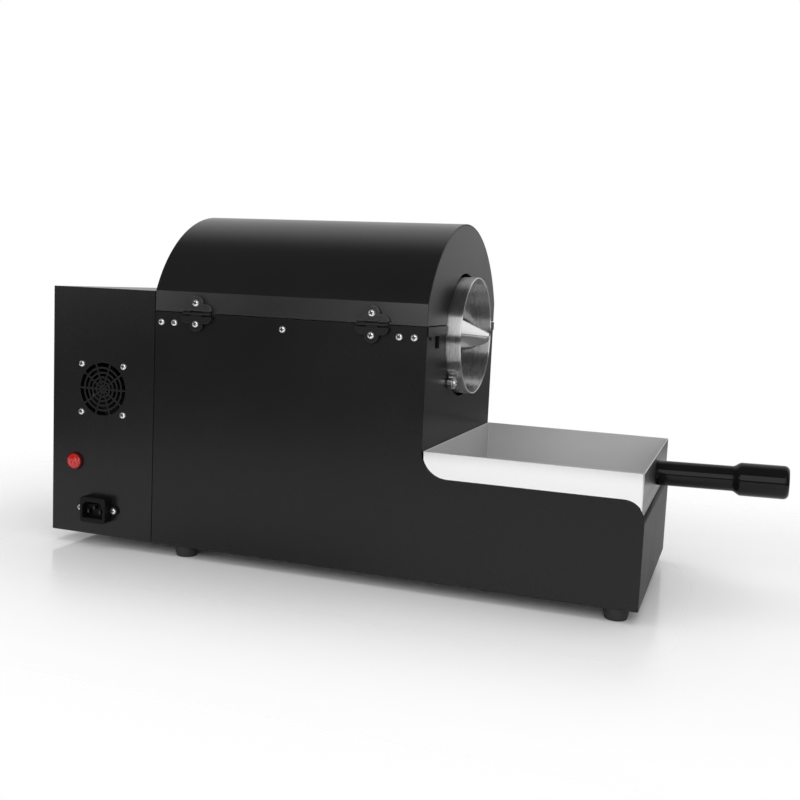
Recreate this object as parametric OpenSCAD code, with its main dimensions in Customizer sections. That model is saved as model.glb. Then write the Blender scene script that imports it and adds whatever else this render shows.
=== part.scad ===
// Home coffee bean roaster: a motor-driven steel drum in a black sheet-metal cabinet.
// X runs along the drum towards the tray, the hinges are on the -Y side, and +Z is up.
// The origin is on the floor under the middle of the whole object.

/* [Cabinet] */
// Length of the control box at the left end
ctrl_len = 121; // [116:1:135]
// Length of the roasting chamber
chamber_len = 286.5; // [265:0.5:320]
// Length of the low shelf that carries the tray
shelf_len = 205; // [185:1:240]
// Room between the drum and the outer face of a side panel
drum_side = 35; // [34:1:44]
// Height of the control box, and of the crease where the lid starts to curve
box_h = 257; // [245:1:275]
// Depth of the seam between body and lid below that crease
seam_drop = 20; // [19:1:24]
// Height of the lid's top above the drum
lid_room = 24; // [22:1:36]
// Height of the side panels beside the tray
rail_h = 98; // [92:1:104]
// Height of the shelf under the tray
shelf_h = 80; // [74:1:86]
// Thickness of the cabinet's steel sheet
sheet_t = 1.2; // [0.9:0.1:1.5]
// Radius of the hollow corner where the side panels step down
step_r = 25; // [15:1:35]
// Radius of the side panels' outer corner above the end panel
corner_r = 19; // [10:1:24]

/* [Feet and screws] */
// Height of the rubber feet
foot_h = 12; // [8:1:18]
// Diameter of the rubber feet at the top
foot_d = 24; // [18:1:28]
// Distance from the control box to the middle of the left feet
foot_left = 34; // [20:1:50]
// Distance from the right end to the middle of the right feet
foot_right = 20.5; // [14:0.5:30]
// Distance from the sides to the middle of a foot
foot_side = 14.5; // [14:0.5:24]
// Diameter of the screw heads
screw_head_d = 7; // [6:0.5:8]
// Diameter of the screw shanks
screw_d = 3.5; // [3:0.1:3.9]

/* [Drum] */
// Outer diameter of the drum
drum_d = 176; // [150:1:200]
// Depth of the drum's axis below the seam
axis_drop = 11; // [9:1:14]
// How far the drum's wall steps in to its mouth
neck_step = 29; // [27:1:34]
// How far the mouth stands out of the end plate
neck_reach = 14; // [13:1:18]
// Gap between the mouth and the hole in the end plate
mouth_gap = 5; // [3:0.5:7]
// Thickness of the drum's stainless sheet
drum_t = 1.5; // [1.2:0.1:2]
// Diameter of the drum's rear shaft
shaft_d = 12; // [10:1:14]
// Diameter of the rollers under the mouth
roller_d = 13; // [11:1:16]

/* [Lid and hinges] */
// Distance from the chamber's ends to the middle of a hinge
hinge_inset = 51; // [44:1:60]
// Width of a hinge
hinge_w = 34; // [30:1:38]
// Thickness of a hinge
hinge_t = 4.5; // [4:0.1:5.5]
// Distance from the seam to a hinge screw
hinge_screw_up = 10.3; // [10:0.1:11]
// Width of the lid's handle
lid_handle_w = 110; // [90:1:140]
// How far the lid's handle stands out
lid_handle_reach = 34; // [30:1:40]

/* [Tray] */
// Height of the tray's walls
tray_h = 42; // [36:1:46]
// Thickness of the tray's polished sheet
tray_t = 1; // [0.8:0.1:1.4]
// Length of the tray's handle
handle_len = 121; // [105:1:140]
// Diameter of the handle's shank
handle_d = 24; // [22:1:26]
// Diameter of the handle's grip
grip_d = 31.5; // [30:0.5:34]
// Length of the handle's grip
grip_len = 51; // [44:1:56]
// Upward tilt of the handle in degrees
handle_tilt = 1.2; // [0:0.2:3]

/* [Control box] */
// Width of the square fan
fan_w = 60; // [58:1:62]
// Distance between the fan's screws
fan_pitch = 50; // [49:1:51]
// Depth of the fan
fan_t = 20; // [18:1:25]
// Height of the fan's middle
fan_h = 153.5; // [148:0.5:158]
// Height of the red lamp
lamp_h = 75.6; // [72:0.1:84]
// Diameter of the lamp's rim
lamp_d = 17.5; // [15:0.5:19]
// Height of the mains inlet
inlet_h = 28; // [24:1:32]
// Distance between the inlet's screws
inlet_pitch = 40; // [39:0.5:41]
// How far the inlet stands out
inlet_reach = 11; // [9:1:14]
// Diameter of the round geared motor
motor_d = 60; // [56:1:62]
// Diameter of the two control knobs
knob_d = 38; // [34:1:42]
// Height of the control knobs
knob_h = 20; // [16:1:24]

/* [Hidden] */
$fn = 64;

// Overrun of every cut, gap between pieces that move past each other, and running fit
cut = 1;
gap = 0.6;
slack = 0.3;
run_fit = 0.05;

// Screws
head_h = 2.2;
recess_w = 0.9;
recess_deep = 1.2;
recess_arm_share = 0.62;
screw_hole_d = screw_d + slack;
lip_screw_len = 6;

// Sizes that follow the drum, and heights above the base that follow the control box
drum_r = drum_d / 2;
drum_in_r = drum_r - drum_t;
neck_r = drum_r - neck_step;
body_w = drum_d + 2 * drum_side;
seam_h = box_h - seam_drop;
axis_h = seam_h - axis_drop;
lid_rise = drum_r + lid_room - (box_h - axis_h);

// Levels
z_floor = foot_h;
z_in = z_floor + sheet_t;
z_seam = z_floor + seam_h;
z_box = z_floor + box_h;
z_rail = z_floor + rail_h;
z_shelf = z_floor + shelf_h;
z_axis = z_floor + axis_h;
z_lid_top = z_box + lid_rise;

// Places along the object
tray_end_set = 3;
grip_end_r = 5;
handle_reach = (handle_len - grip_end_r) * cos(handle_tilt)
    + (grip_d / 2 - grip_end_r) * sin(handle_tilt) + grip_end_r;
total_len = ctrl_len + chamber_len + shelf_len - tray_end_set + handle_reach;
x_box = -total_len / 2;
x_wall = x_box + ctrl_len;
x_mouth = x_wall + chamber_len;
x_end = x_mouth + shelf_len;

// Places across the object
lamp_reach = 7;
reach_back = max(inlet_reach, lamp_reach, hinge_t + head_h);
reach_front = max(lid_handle_reach, knob_h);
y_mid = (reach_back - reach_front) / 2;
y_back = y_mid - body_w / 2;
y_front = y_mid + body_w / 2;
y_back_in = y_back + sheet_t;
y_front_in = y_front - sheet_t;
half_in = body_w / 2 - sheet_t;

// A box between two corners
module block(x0, x1, y0, y1, z0, z1) {
    translate([x0, y0, z0]) cube([x1 - x0, y1 - y0, z1 - z0]);
}

// Round bars along each axis
module rod_x(x0, x1, y, z, r) {
    translate([x0, y, z]) rotate([0, 90, 0]) cylinder(h = x1 - x0, r = r);
}

module rod_y(y0, y1, x, z, r) {
    translate([x, y0, z]) rotate([-90, 0, 0]) cylinder(h = y1 - y0, r = r);
}

module rod_z(z0, z1, x, y, r) {
    translate([x, y, z0]) cylinder(h = z1 - z0, r = r);
}

// An outline in the XZ plane, drawn out along +Y from y0
module plate_y(y0, t) {
    translate([0, y0 + t, 0]) rotate([90, 0, 0]) linear_extrude(t) children();
}

// An outline in the YZ plane, measured from the drum's middle plane, drawn out along +X
module plate_x(x0, len) {
    translate([x0, y_mid, 0]) rotate([90, 0, 90]) linear_extrude(len) children();
}

// A rectangle with rounded corners about its middle
module round_rect(w, h, r) {
    square([w - 2 * r, h], center = true);
    square([w, h - 2 * r], center = true);
    for (sx = [-1, 1], sy = [-1, 1]) {
        translate([sx * (w / 2 - r), sy * (h / 2 - r)]) circle(r);
    }
}

// A slot with round ends about its middle, long along its first axis
module slot_2d(len, w) {
    square([len - w, w], center = true);
    for (s = [-1, 1]) translate([s * (len - w) / 2, 0]) circle(w / 2);
}

// A pan-head screw with a cross recess: the head is above z = 0 and the shank below
module pan_screw(shank_len) {
    head_r = screw_head_d / 2;
    crown = head_h * recess_arm_share;
    crown_r = (head_r * head_r + crown * crown) / (2 * crown);
    arm = screw_head_d * recess_arm_share;
    difference() {
        union() {
            intersection() {
                cylinder(h = head_h, r = head_r);
                translate([0, 0, head_h - crown_r]) sphere(crown_r);
            }
            translate([0, 0, -shank_len]) cylinder(h = shank_len + head_h / 2, r = screw_d / 2);
        }
        for (a = [0, 90]) {
            rotate([0, 0, a]) translate([-arm / 2, -recess_w / 2, head_h - recess_deep])
                cube([arm, recess_w, recess_deep + cut]);
        }
    }
}

// The same screw with its head facing -Y or +Y
module screw_back(x, y_face, z, shank_len) {
    translate([x, y_face, z]) rotate([90, 0, 0]) pan_screw(shank_len);
}

module screw_front(x, y_face, z, shank_len) {
    translate([x, y_face, z]) rotate([-90, 0, 0]) pan_screw(shank_len);
}

// Feet: places of the four feet
foot_tip_share = 0.84;
foot_hole_d = screw_d + slack;
foot_well_d = screw_head_d + 2 * slack;
foot_well_share = 0.4;
foot_x = [x_wall + foot_left, x_end - foot_right];
foot_y = [y_back + foot_side, y_front - foot_side];

// Base plate: slots for cooling air
vent_len = 30;
vent_w = 4;
vent_pitch = 9;
vent_count = 9;

module base_plate() {
    color([0.06, 0.06, 0.065]) difference() {
        block(x_box + sheet_t, x_end - sheet_t, y_back_in, y_front_in, z_floor, z_in);
        for (x = foot_x, y = foot_y) rod_z(z_floor - cut, z_in + cut, x, y, foot_hole_d / 2);
        for (i = [0 : vent_count - 1], s = [-1, 1]) {
            x_slot = x_box + ctrl_len / 2 + (i - (vent_count - 1) / 2) * vent_pitch;
            translate([x_slot, y_mid + s * body_w / 6, z_floor - cut]) rotate([0, 0, 90])
                linear_extrude(sheet_t + 2 * cut) slot_2d(vent_len, vent_w);
        }
    }
}

// Side panels: five liner screws in a row below the seam, two near each end
panel_seam = 0.6;
liner_screw_inset = 10;
liner_screw_pitch = 14.7;
row_shift = 1.8;
x_row = (x_wall + x_mouth) / 2 - row_shift;
z_liner_screw = z_seam - hinge_screw_up;
row_half = chamber_len / 2 - liner_screw_inset;
liner_screw_x = [
    x_row - row_half, x_row - row_half + liner_screw_pitch, x_row,
    x_row + row_half - liner_screw_pitch, x_row + row_half
];
hinge_x = [for (s = [-1, 1]) x_row + s * (chamber_len / 2 - hinge_inset)];

module side_panel_outline() {
    difference() {
        union() {
            translate([x_wall + panel_seam, z_floor])
                square([chamber_len - panel_seam, seam_h]);
            translate([x_mouth, z_floor]) square([shelf_len, rail_h]);
            translate([x_mouth, z_rail]) difference() {
                square(step_r);
                translate([step_r, step_r]) circle(step_r);
            }
        }
        translate([x_end - corner_r, z_rail - corner_r]) difference() {
            square(corner_r + cut);
            circle(corner_r);
        }
        for (x = liner_screw_x) translate([x, z_liner_screw]) circle(screw_hole_d / 2);
    }
}

module back_side_panel() {
    color([0.06, 0.06, 0.065]) plate_y(y_back, sheet_t) difference() {
        side_panel_outline();
        for (x = hinge_x) translate([x, z_seam - hinge_screw_up]) circle(screw_hole_d / 2);
    }
}

module front_side_panel() {
    color([0.06, 0.06, 0.065]) plate_y(y_front - sheet_t, sheet_t) side_panel_outline();
}

// Mouth end plate: the hole for the drum's mouth, the rollers' bolts and a small sight slot
mouth_r = neck_r + mouth_gap;
roller_r = roller_d / 2;
roller_bore_d = 4;
roller_w = 5;
roller_angle = 43;
roller_reach = neck_r + slack + roller_r;
roller_dy = roller_reach * cos(roller_angle);
roller_dz = roller_reach * sin(roller_angle);
hem_h = 9;
slot_w = 5.5;
slot_h = 11.5;
slot_in = 27.5;
tab_reach = 2;
stud_d = 3.4;
stud_in = 11;
stud_drop = 11;

module mouth_end_plate() {
    y_slot = -body_w / 2 + slot_in;
    color([0.09, 0.09, 0.095]) {
        plate_x(x_mouth - sheet_t, sheet_t) difference() {
            translate([-half_in, z_in]) square([2 * half_in, z_seam - z_in]);
            translate([0, z_axis]) circle(mouth_r);
            for (s = [-1, 1]) {
                translate([s * roller_dy, z_axis - roller_dz]) circle(roller_bore_d / 2 + slack);
            }
            translate([y_slot, z_seam - hem_h - slot_h]) square([slot_w, slot_h]);
        }
        plate_x(x_mouth, sheet_t) difference() {
            translate([-half_in, z_seam - hem_h]) square([2 * half_in, hem_h]);
            translate([0, z_axis]) circle(mouth_r);
        }
        plate_x(x_mouth - sheet_t, sheet_t + tab_reach)
            translate([y_slot + slot_w, z_seam - hem_h - slot_h]) square([sheet_t, slot_h]);
        for (s = [-1, 1]) intersection() {
            translate([x_mouth, y_mid + s * (body_w / 2 - stud_in), z_seam - stud_drop])
                sphere(stud_d / 2);
            block(x_mouth - sheet_t, x_mouth + stud_d, y_back, y_front, z_in, z_seam);
        }
    }
}

// Tray shelf: one bent sheet, flat under the tray and turned down at its end
bend_r = 2;

module tray_shelf() {
    color([0.06, 0.06, 0.065]) plate_y(y_back_in, 2 * half_in) difference() {
        union() {
            translate([x_mouth, z_shelf - sheet_t]) square([shelf_len, sheet_t]);
            translate([x_end - sheet_t, z_floor]) square([sheet_t, shelf_h]);
        }
        translate([x_end - bend_r, z_shelf - bend_r]) difference() {
            square(bend_r + cut);
            circle(bend_r);
        }
    }
}

// Chamber: liner, heating elements and probe, placed by their distance from the drum's axis
liner_room = 17;
liner_r = drum_r + liner_room;
liner_t = 0.8;
liner_lip_h = 17;
liner_drop = 2;
z_liner_top = z_seam - liner_drop;
element_d = 8;
element_r = (drum_r + liner_r) / 2;
element_spread = 10;
element_lean = 28;
element_end_gap = 45;
element_tail = 16;
bush_d = 14;
bush_flange_d = 16;
bush_flange_t = 3;
probe_d = 5;
probe_len = 110;
probe_angle = 200;
probe_nut_w = 12;
probe_nut_t = 5;
element_angles = [
    for (c = [-1, 1], s = [-1, 1]) 270 + c * element_lean + s * element_spread
];

// Drive: places of the bearing, coupling and motor along the shaft
bearing_body_d = 28;
bearing_flange_d = 50;
bearing_t = 13;
bearing_flange_t = 4;
bearing_bolt_circle = 40;
bolt_d = 5;
bolt_head_w = 8;
bolt_head_t = 3.5;
coupling_d = 24;
coupling_len = 26;
coupling_gap = 3;
motor_shaft_d = 8;
motor_shaft_down = 12;
bracket_t = 2;
bracket_gap = 4;
bracket_foot = 12;
x_bearing = x_wall - sheet_t - bearing_t;
x_coupling = x_bearing - coupling_gap - coupling_len;
x_bracket = x_coupling - bracket_gap - bracket_t;
bracket_half = motor_d / 2 + bracket_t + gap;
z_motor = z_axis - motor_shaft_down;
gearbox_len = 26;
gearbox_boss_d = 16;
motor_can_d = motor_d - 4 * gap;
motor_can_len = 28;

// Each bolt's face distance from the bulkhead, then its place across and its height
bulkhead_bolt_places = [
    for (a = [45 : 90 : 315]) [
        bearing_flange_t, bearing_bolt_circle / 2 * cos(a),
        z_axis + bearing_bolt_circle / 2 * sin(a)
    ],
    for (s = [-1, 1], u = [-1, 1]) [
        bracket_t, s * (bracket_half + bracket_foot / 2), z_motor + u * motor_d / 3
    ]
];

module motor_bulkhead() {
    color([0.06, 0.06, 0.065]) plate_x(x_wall - sheet_t, sheet_t) difference() {
        translate([-half_in, z_in]) square([2 * half_in, z_box - sheet_t - z_in]);
        translate([0, z_axis]) circle(shaft_d / 2 + 2 * gap);
        for (p = bulkhead_bolt_places) translate([p[1], p[2]]) circle(bolt_d / 2 + slack);
        translate([0, z_axis]) {
            for (a = element_angles) rotate(a) translate([element_r, 0]) circle(bush_d / 2);
            rotate(probe_angle) translate([element_r, 0]) circle(probe_d / 2 + slack);
        }
    }
}

// Control box cover: one bent sheet, the left side and the top, with air slots low in the side
side_slot_len = 40;
side_slot_w = 3.5;
side_slot_pitch = 10;
side_slot_count = 8;

module control_box_cover() {
    color([0.06, 0.06, 0.065]) difference() {
        plate_y(y_back_in, 2 * half_in) difference() {
            union() {
                translate([x_box, z_floor]) square([sheet_t, box_h]);
                translate([x_box, z_box - sheet_t]) square([ctrl_len, sheet_t]);
            }
            translate([x_box + bend_r, z_box - bend_r]) difference() {
                translate([-bend_r - cut, 0]) square(bend_r + cut);
                circle(bend_r);
            }
        }
        for (i = [0 : side_slot_count - 1], s = [-1, 1]) {
            translate([x_box - cut, y_mid + s * body_w / 5, z_floor + lamp_h + i * side_slot_pitch])
                rotate([90, 0, 90]) linear_extrude(sheet_t + 2 * cut)
                    slot_2d(side_slot_len, side_slot_w);
        }
    }
}

// Fan grille cut in the back panel: ring bars and spokes stay in a round opening
grille_r = 27.3;
grille_bar = 2;
grille_hub_share = 0.16;
grille_ring_shares = [0.29, 0.45, 0.625, 0.81];
grille_spokes = 10;
x_fan = x_box + ctrl_len / 2;
z_fan = z_floor + fan_h;
fan_places = [for (sx = [-1, 1], sz = [-1, 1]) [x_fan + sx * fan_pitch / 2, z_fan + sz * fan_pitch / 2]];
lamp_in = 28;
x_lamp = x_box + lamp_in;
z_lamp = z_floor + lamp_h;
lamp_barrel_d = 15;
inlet_in = 57.3;
x_inlet = x_box + inlet_in;
z_inlet = z_floor + inlet_h;
inlet_body_w = 27;
inlet_body_h = 20;
inlet_body_deep = 18;
inlet_shroud_w = 31;
inlet_shroud_h = 27;
inlet_shroud_r = 4;
inlet_flange_w = 50;
inlet_flange_t = 2.5;
inlet_ear_r = 5;

module grille_opening() {
    difference() {
        circle(grille_r);
        circle(grille_r * grille_hub_share);
        for (k = grille_ring_shares) difference() {
            circle(grille_r * k + grille_bar / 2);
            circle(grille_r * k - grille_bar / 2);
        }
        for (i = [0 : grille_spokes / 2 - 1]) rotate(i * 360 / grille_spokes)
            square([2 * (grille_r + cut), grille_bar], center = true);
    }
}

module control_back_panel() {
    color([0.06, 0.06, 0.065]) plate_y(y_back, sheet_t) difference() {
        translate([x_box, z_floor]) square([ctrl_len, box_h]);
        translate([x_fan, z_fan]) grille_opening();
        for (p = fan_places) translate(p) circle(screw_hole_d / 2);
        translate([x_lamp, z_lamp]) circle(lamp_barrel_d / 2 + slack);
        translate([x_inlet, z_inlet]) {
            square([inlet_body_w + 2 * slack, inlet_body_h + 2 * slack], center = true);
            for (s = [-1, 1]) translate([s * inlet_pitch / 2, 0]) circle(screw_hole_d / 2);
        }
    }
}

// Operator's side of the control box: two knobs above a three-way rocker
x_knob = x_box + ctrl_len / 2;
control_drop = 57;
control_pitch = 62.5;
heat_knob_h = box_h - control_drop;
timer_knob_h = heat_knob_h - control_pitch;
rocker_h = timer_knob_h - control_pitch;
spindle_d = 6;
bushing_d = 10;
control_body_d = 42;
control_body_t = 22;
rocker_w = 13;
rocker_tall = 28;
rocker_bezel = 3;
rocker_bezel_t = 2;
rocker_deep = 20;

module control_front_panel() {
    color([0.06, 0.06, 0.065]) plate_y(y_front - sheet_t, sheet_t) difference() {
        translate([x_box, z_floor]) square([ctrl_len, box_h]);
        for (h = [heat_knob_h, timer_knob_h]) translate([x_knob, z_floor + h])
            circle(bushing_d / 2 + slack);
        translate([x_knob, z_floor + rocker_h])
            square([rocker_w + 2 * rocker_bezel, rocker_tall + 2 * rocker_bezel], center = true);
    }
}

// Rubber feet with a well for the screw head
module rubber_feet() {
    color([0.03, 0.03, 0.03]) for (x = foot_x, y = foot_y) difference() {
        translate([x, y, 0]) cylinder(h = foot_h, r1 = foot_d / 2 * foot_tip_share, r2 = foot_d / 2);
        rod_z(-cut, foot_h * foot_well_share, x, y, foot_well_d / 2);
        rod_z(-cut, foot_h + cut, x, y, screw_d / 2);
    }
}

module foot_screws() {
    color([0.7, 0.7, 0.72]) for (x = foot_x, y = foot_y) {
        translate([x, y, foot_h * foot_well_share]) rotate([180, 0, 0])
            pan_screw(foot_h * (1 - foot_well_share) + sheet_t + bolt_head_t);
    }
}

// Outside screws: the liner's lips, the lower halves of the hinges, the fan and the inlet
module cabinet_screws() {
    color([0.8, 0.8, 0.82]) {
        for (x = liner_screw_x) {
            screw_back(x, y_back, z_liner_screw, lip_screw_len);
            screw_front(x, y_front, z_liner_screw, lip_screw_len);
        }
        for (x = hinge_x) screw_back(x, y_back - hinge_t, z_liner_screw, hinge_t + lip_screw_len);
        for (p = fan_places) screw_back(p[0], y_back, p[1], sheet_t + fan_t / 2);
        for (s = [-1, 1]) screw_back(x_inlet + s * inlet_pitch / 2, y_back - inlet_flange_t, z_inlet,
            inlet_flange_t + lip_screw_len);
    }
}

// Chamber liner: a trough with outward ledges and lips that hang on the side panels
module chamber_liner() {
    color([0.6, 0.6, 0.6]) difference() {
        plate_x(x_wall, chamber_len - sheet_t) {
            difference() {
                union() {
                    translate([0, z_axis]) circle(liner_r + liner_t);
                    translate([-liner_r - liner_t, z_axis])
                        square([2 * (liner_r + liner_t), z_liner_top - z_axis]);
                }
                translate([0, z_axis]) circle(liner_r);
                translate([-liner_r, z_axis]) square([2 * liner_r, liner_r + cut]);
                translate([-body_w / 2, z_liner_top]) square([body_w, liner_r + cut]);
            }
            for (s = [0, 1]) mirror([s, 0]) {
                translate([liner_r, z_liner_top - liner_t]) square([half_in - liner_r, liner_t]);
                translate([half_in - liner_t, z_liner_top - liner_lip_h])
                    square([liner_t, liner_lip_h]);
            }
        }
        for (x = liner_screw_x) rod_y(y_back, y_front, x, z_liner_screw, screw_hole_d / 2);
        for (x = hinge_x) rod_y(y_back, y_mid - liner_r, x, z_liner_screw, screw_hole_d / 2);
    }
}

insulation_t = 11;

module chamber_insulation() {
    inner_r = liner_r + liner_t + slack;
    color([0.85, 0.83, 0.78]) plate_x(x_wall, chamber_len - sheet_t) translate([0, z_axis])
        difference() {
            circle(inner_r + insulation_t);
            circle(inner_r);
            translate([-body_w / 2, -screw_head_d]) square([body_w, body_w]);
        }
}

// Heating elements: two tubes bent into a long U under the drum
module heating_elements() {
    half = element_r * sin(element_spread);
    down = element_r * cos(element_spread);
    bend_x = x_mouth - element_end_gap;
    color([0.22, 0.22, 0.23]) for (c = [-1, 1]) translate([0, y_mid, z_axis])
        rotate([c * element_lean, 0, 0]) {
            for (s = [-1, 1]) {
                rod_x(x_wall - element_tail, bend_x, s * half, -down, element_d / 2);
            }
            translate([bend_x, 0, -down]) rotate([0, 0, -90])
                rotate_extrude(angle = 180) translate([half, 0]) circle(element_d / 2);
        }
}

module element_bushes() {
    color([0.9, 0.88, 0.82]) translate([0, y_mid, z_axis]) for (a = element_angles) {
        dy = element_r * cos(a);
        dz = element_r * sin(a);
        difference() {
            union() {
                rod_x(x_wall - sheet_t - bush_flange_t, x_wall, dy, dz, bush_d / 2 - slack / 2);
                rod_x(x_wall, x_wall + bush_flange_t, dy, dz, bush_flange_d / 2);
            }
            rod_x(x_wall - 2 * bush_d, x_wall + bush_d, dy, dz, element_d / 2 + run_fit);
        }
    }
}

module temperature_probe() {
    dy = element_r * cos(probe_angle);
    dz = element_r * sin(probe_angle);
    color([0.7, 0.7, 0.7]) translate([0, y_mid, z_axis]) {
        rod_x(x_wall - element_tail, x_wall + probe_len, dy, dz, probe_d / 2);
        translate([x_wall - sheet_t - probe_nut_t, dy, dz]) rotate([0, 90, 0])
            cylinder(h = probe_nut_t, r = probe_nut_w / 2, $fn = 6);
    }
}

// Rollers under the mouth: each turns on a screw, between a shim on the plate and a washer
shim_t = 0.5;
shim_d = 7;
washer_t = 1;
washer_d = 11.5;
roller_gap = 0.3;
roller_nut_w = 8.1;
roller_nut_t = 3.2;
x_roller = x_mouth + shim_t + roller_gap;
x_washer = x_roller + roller_w + roller_gap;

module roller_bolt(s) {
    translate([0, y_mid + s * roller_dy, z_axis - roller_dz]) {
        rod_x(x_mouth - sheet_t - roller_nut_t, x_washer, 0, 0, roller_bore_d / 2);
        rod_x(x_mouth, x_mouth + shim_t, 0, 0, shim_d / 2);
        rod_x(x_washer, x_washer + washer_t, 0, 0, washer_d / 2);
        translate([x_washer + washer_t, 0, 0]) rotate([0, 90, 0]) pan_screw(washer_t);
        translate([x_mouth - sheet_t - roller_nut_t, 0, 0]) rotate([0, 90, 0])
            cylinder(h = roller_nut_t, r = roller_nut_w / 2, $fn = 6);
    }
}

module roller(s) {
    color([0.75, 0.75, 0.77]) difference() {
        rod_x(x_roller, x_roller + roller_w, y_mid + s * roller_dy, z_axis - roller_dz, roller_r);
        rod_x(x_mouth, x_end, y_mid + s * roller_dy, z_axis - roller_dz,
            roller_bore_d / 2 + run_fit);
    }
}

module roller_bolts() {
    color([0.75, 0.75, 0.77]) for (s = [-1, 1]) roller_bolt(s);
}

module back_roller() {
    roller(-1);
}

module front_roller() {
    roller(1);
}

// Drum: a shell with a flat rear head, a front ring and a narrower mouth
drum_rear_gap = 20;
drum_front_gap = 22;
head_t = 3;
x_drum = x_wall + drum_rear_gap;
x_drum_end = x_mouth - sheet_t - drum_front_gap;
x_lip = x_mouth + neck_reach;
hub_d = 44;
hub_t = 5;

module tube_x(x0, x1, r_out, r_in) {
    difference() {
        rod_x(x0, x1, y_mid, z_axis, r_out);
        rod_x(x0 - cut, x1 + cut, y_mid, z_axis, r_in);
    }
}

module drum_shell() {
    color([0.55, 0.55, 0.55]) tube_x(x_drum, x_drum_end, drum_r, drum_in_r);
}

module drum_rear_head() {
    color([0.55, 0.55, 0.55]) tube_x(x_drum, x_drum + head_t, drum_in_r, shaft_d / 2);
}

module drum_front_ring() {
    color([0.55, 0.55, 0.55]) tube_x(x_drum_end - drum_t, x_drum_end, drum_in_r, neck_r);
}

module drum_neck() {
    color([0.7, 0.7, 0.7]) tube_x(x_drum_end - drum_t, x_lip, neck_r, neck_r - drum_t);
}

// Discharge blade: a pointed scoop, part of a cone wall, welded inside the mouth
blade_len = 62;
blade_t = 1.5;
blade_wide_r = 34;
blade_tip_r = 2;
blade_back = 1;

module discharge_blade() {
    in_r = neck_r - drum_t;
    color([0.7, 0.7, 0.7]) intersection() {
        difference() {
            translate([x_lip - blade_back, y_mid + in_r, z_axis]) rotate([0, -90, 0])
                cylinder(h = blade_len, r1 = blade_tip_r + blade_t, r2 = blade_wide_r + blade_t);
            translate([x_lip - blade_back, y_mid + in_r, z_axis]) rotate([0, -90, 0])
                cylinder(h = blade_len, r1 = blade_tip_r, r2 = blade_wide_r);
        }
        rod_x(x_drum_end, x_lip, y_mid, z_axis, in_r);
    }
}

// Mixing vanes: flat bars set at a slant along the drum's wall
vane_count = 3;
vane_h = 20;
vane_t = 1.5;
vane_slant = 9;
vane_end_gap = 12;

module mixing_vanes() {
    vane_len = x_drum_end - x_drum - head_t - 2 * vane_end_gap;
    color([0.55, 0.55, 0.55]) intersection() {
        for (i = [0 : vane_count - 1]) translate([(x_drum + x_drum_end) / 2, y_mid, z_axis])
            rotate([i * 360 / vane_count, 0, 0]) rotate([0, 0, vane_slant])
                translate([-vane_len / 2, -vane_t / 2, drum_in_r - vane_h])
                    cube([vane_len, vane_t, vane_h]);
        rod_x(x_drum, x_drum_end, y_mid, z_axis, drum_in_r);
    }
}

module drum_shaft() {
    color([0.7, 0.7, 0.7]) {
        rod_x(x_coupling + coupling_len / 2, x_drum + head_t, y_mid, z_axis, shaft_d / 2);
        rod_x(x_drum - hub_t, x_drum, y_mid, z_axis, hub_d / 2);
    }
}

module shaft_coupling() {
    x_mid = x_coupling + coupling_len / 2;
    color([0.6, 0.6, 0.62]) difference() {
        rod_x(x_coupling, x_coupling + coupling_len, y_mid, z_axis, coupling_d / 2);
        rod_x(x_mid, x_coupling + coupling_len + cut, y_mid, z_axis, shaft_d / 2);
        rod_x(x_coupling - cut, x_mid + cut, y_mid, z_axis, motor_shaft_d / 2);
    }
}

module motor_shaft() {
    x_mid = x_coupling + coupling_len / 2;
    color([0.7, 0.7, 0.7]) rod_x(x_bracket - gearbox_len / 2, x_mid, y_mid, z_axis,
        motor_shaft_d / 2);
}

// Bearing: a flanged block on the bulkhead with a running fit on the shaft
module shaft_bearing() {
    color([0.5, 0.5, 0.52]) difference() {
        union() {
            rod_x(x_bearing, x_wall - sheet_t, y_mid, z_axis, bearing_body_d / 2);
            rod_x(x_wall - sheet_t - bearing_flange_t, x_wall - sheet_t, y_mid, z_axis,
                bearing_flange_d / 2);
        }
        rod_x(x_bearing - cut, x_wall + cut, y_mid, z_axis, shaft_d / 2 + run_fit);
        for (p = bulkhead_bolt_places) {
            if (p[0] == bearing_flange_t)
                rod_x(x_bearing, x_wall, y_mid + p[1], p[2], bolt_d / 2 + slack);
        }
    }
}

// A hexagon bolt through the bulkhead, its head towards the control box
module bulkhead_bolt(x_face, y, z) {
    rod_x(x_face, x_wall, y, z, bolt_d / 2);
    translate([x_face - bolt_head_t, y, z]) rotate([0, 90, 0])
        cylinder(h = bolt_head_t, r = bolt_head_w / 2, $fn = 6);
}

module bulkhead_bolts() {
    color([0.7, 0.7, 0.72]) for (p = bulkhead_bolt_places) {
        bulkhead_bolt(x_wall - sheet_t - p[0], y_mid + p[1], p[2]);
    }
}

// Motor bracket: a bent strip that stands off the bulkhead and carries the gearbox
module motor_bracket() {
    x_foot = x_wall - sheet_t - bracket_t;
    color([0.6, 0.6, 0.6]) difference() {
        union() {
            block(x_bracket, x_bracket + bracket_t, y_mid - bracket_half, y_mid + bracket_half,
                z_motor - motor_d / 2, z_motor + motor_d / 2);
            for (s = [-1, 1]) {
                y0 = y_mid + s * bracket_half;
                y1 = y_mid + s * (bracket_half - bracket_t);
                y2 = y_mid + s * (bracket_half + bracket_foot);
                block(x_bracket, x_foot + bracket_t, min(y0, y1), max(y0, y1),
                    z_motor - motor_d / 2, z_motor + motor_d / 2);
                block(x_foot, x_foot + bracket_t, min(y0, y2), max(y0, y2),
                    z_motor - motor_d / 2, z_motor + motor_d / 2);
            }
        }
        rod_x(x_bracket - cut, x_coupling, y_mid, z_axis, gearbox_boss_d / 2 + slack);
        for (p = bulkhead_bolt_places) {
            if (p[0] == bracket_t)
                rod_x(x_foot - cut, x_wall, y_mid + p[1], p[2], bolt_d / 2 + slack);
        }
    }
}

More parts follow.
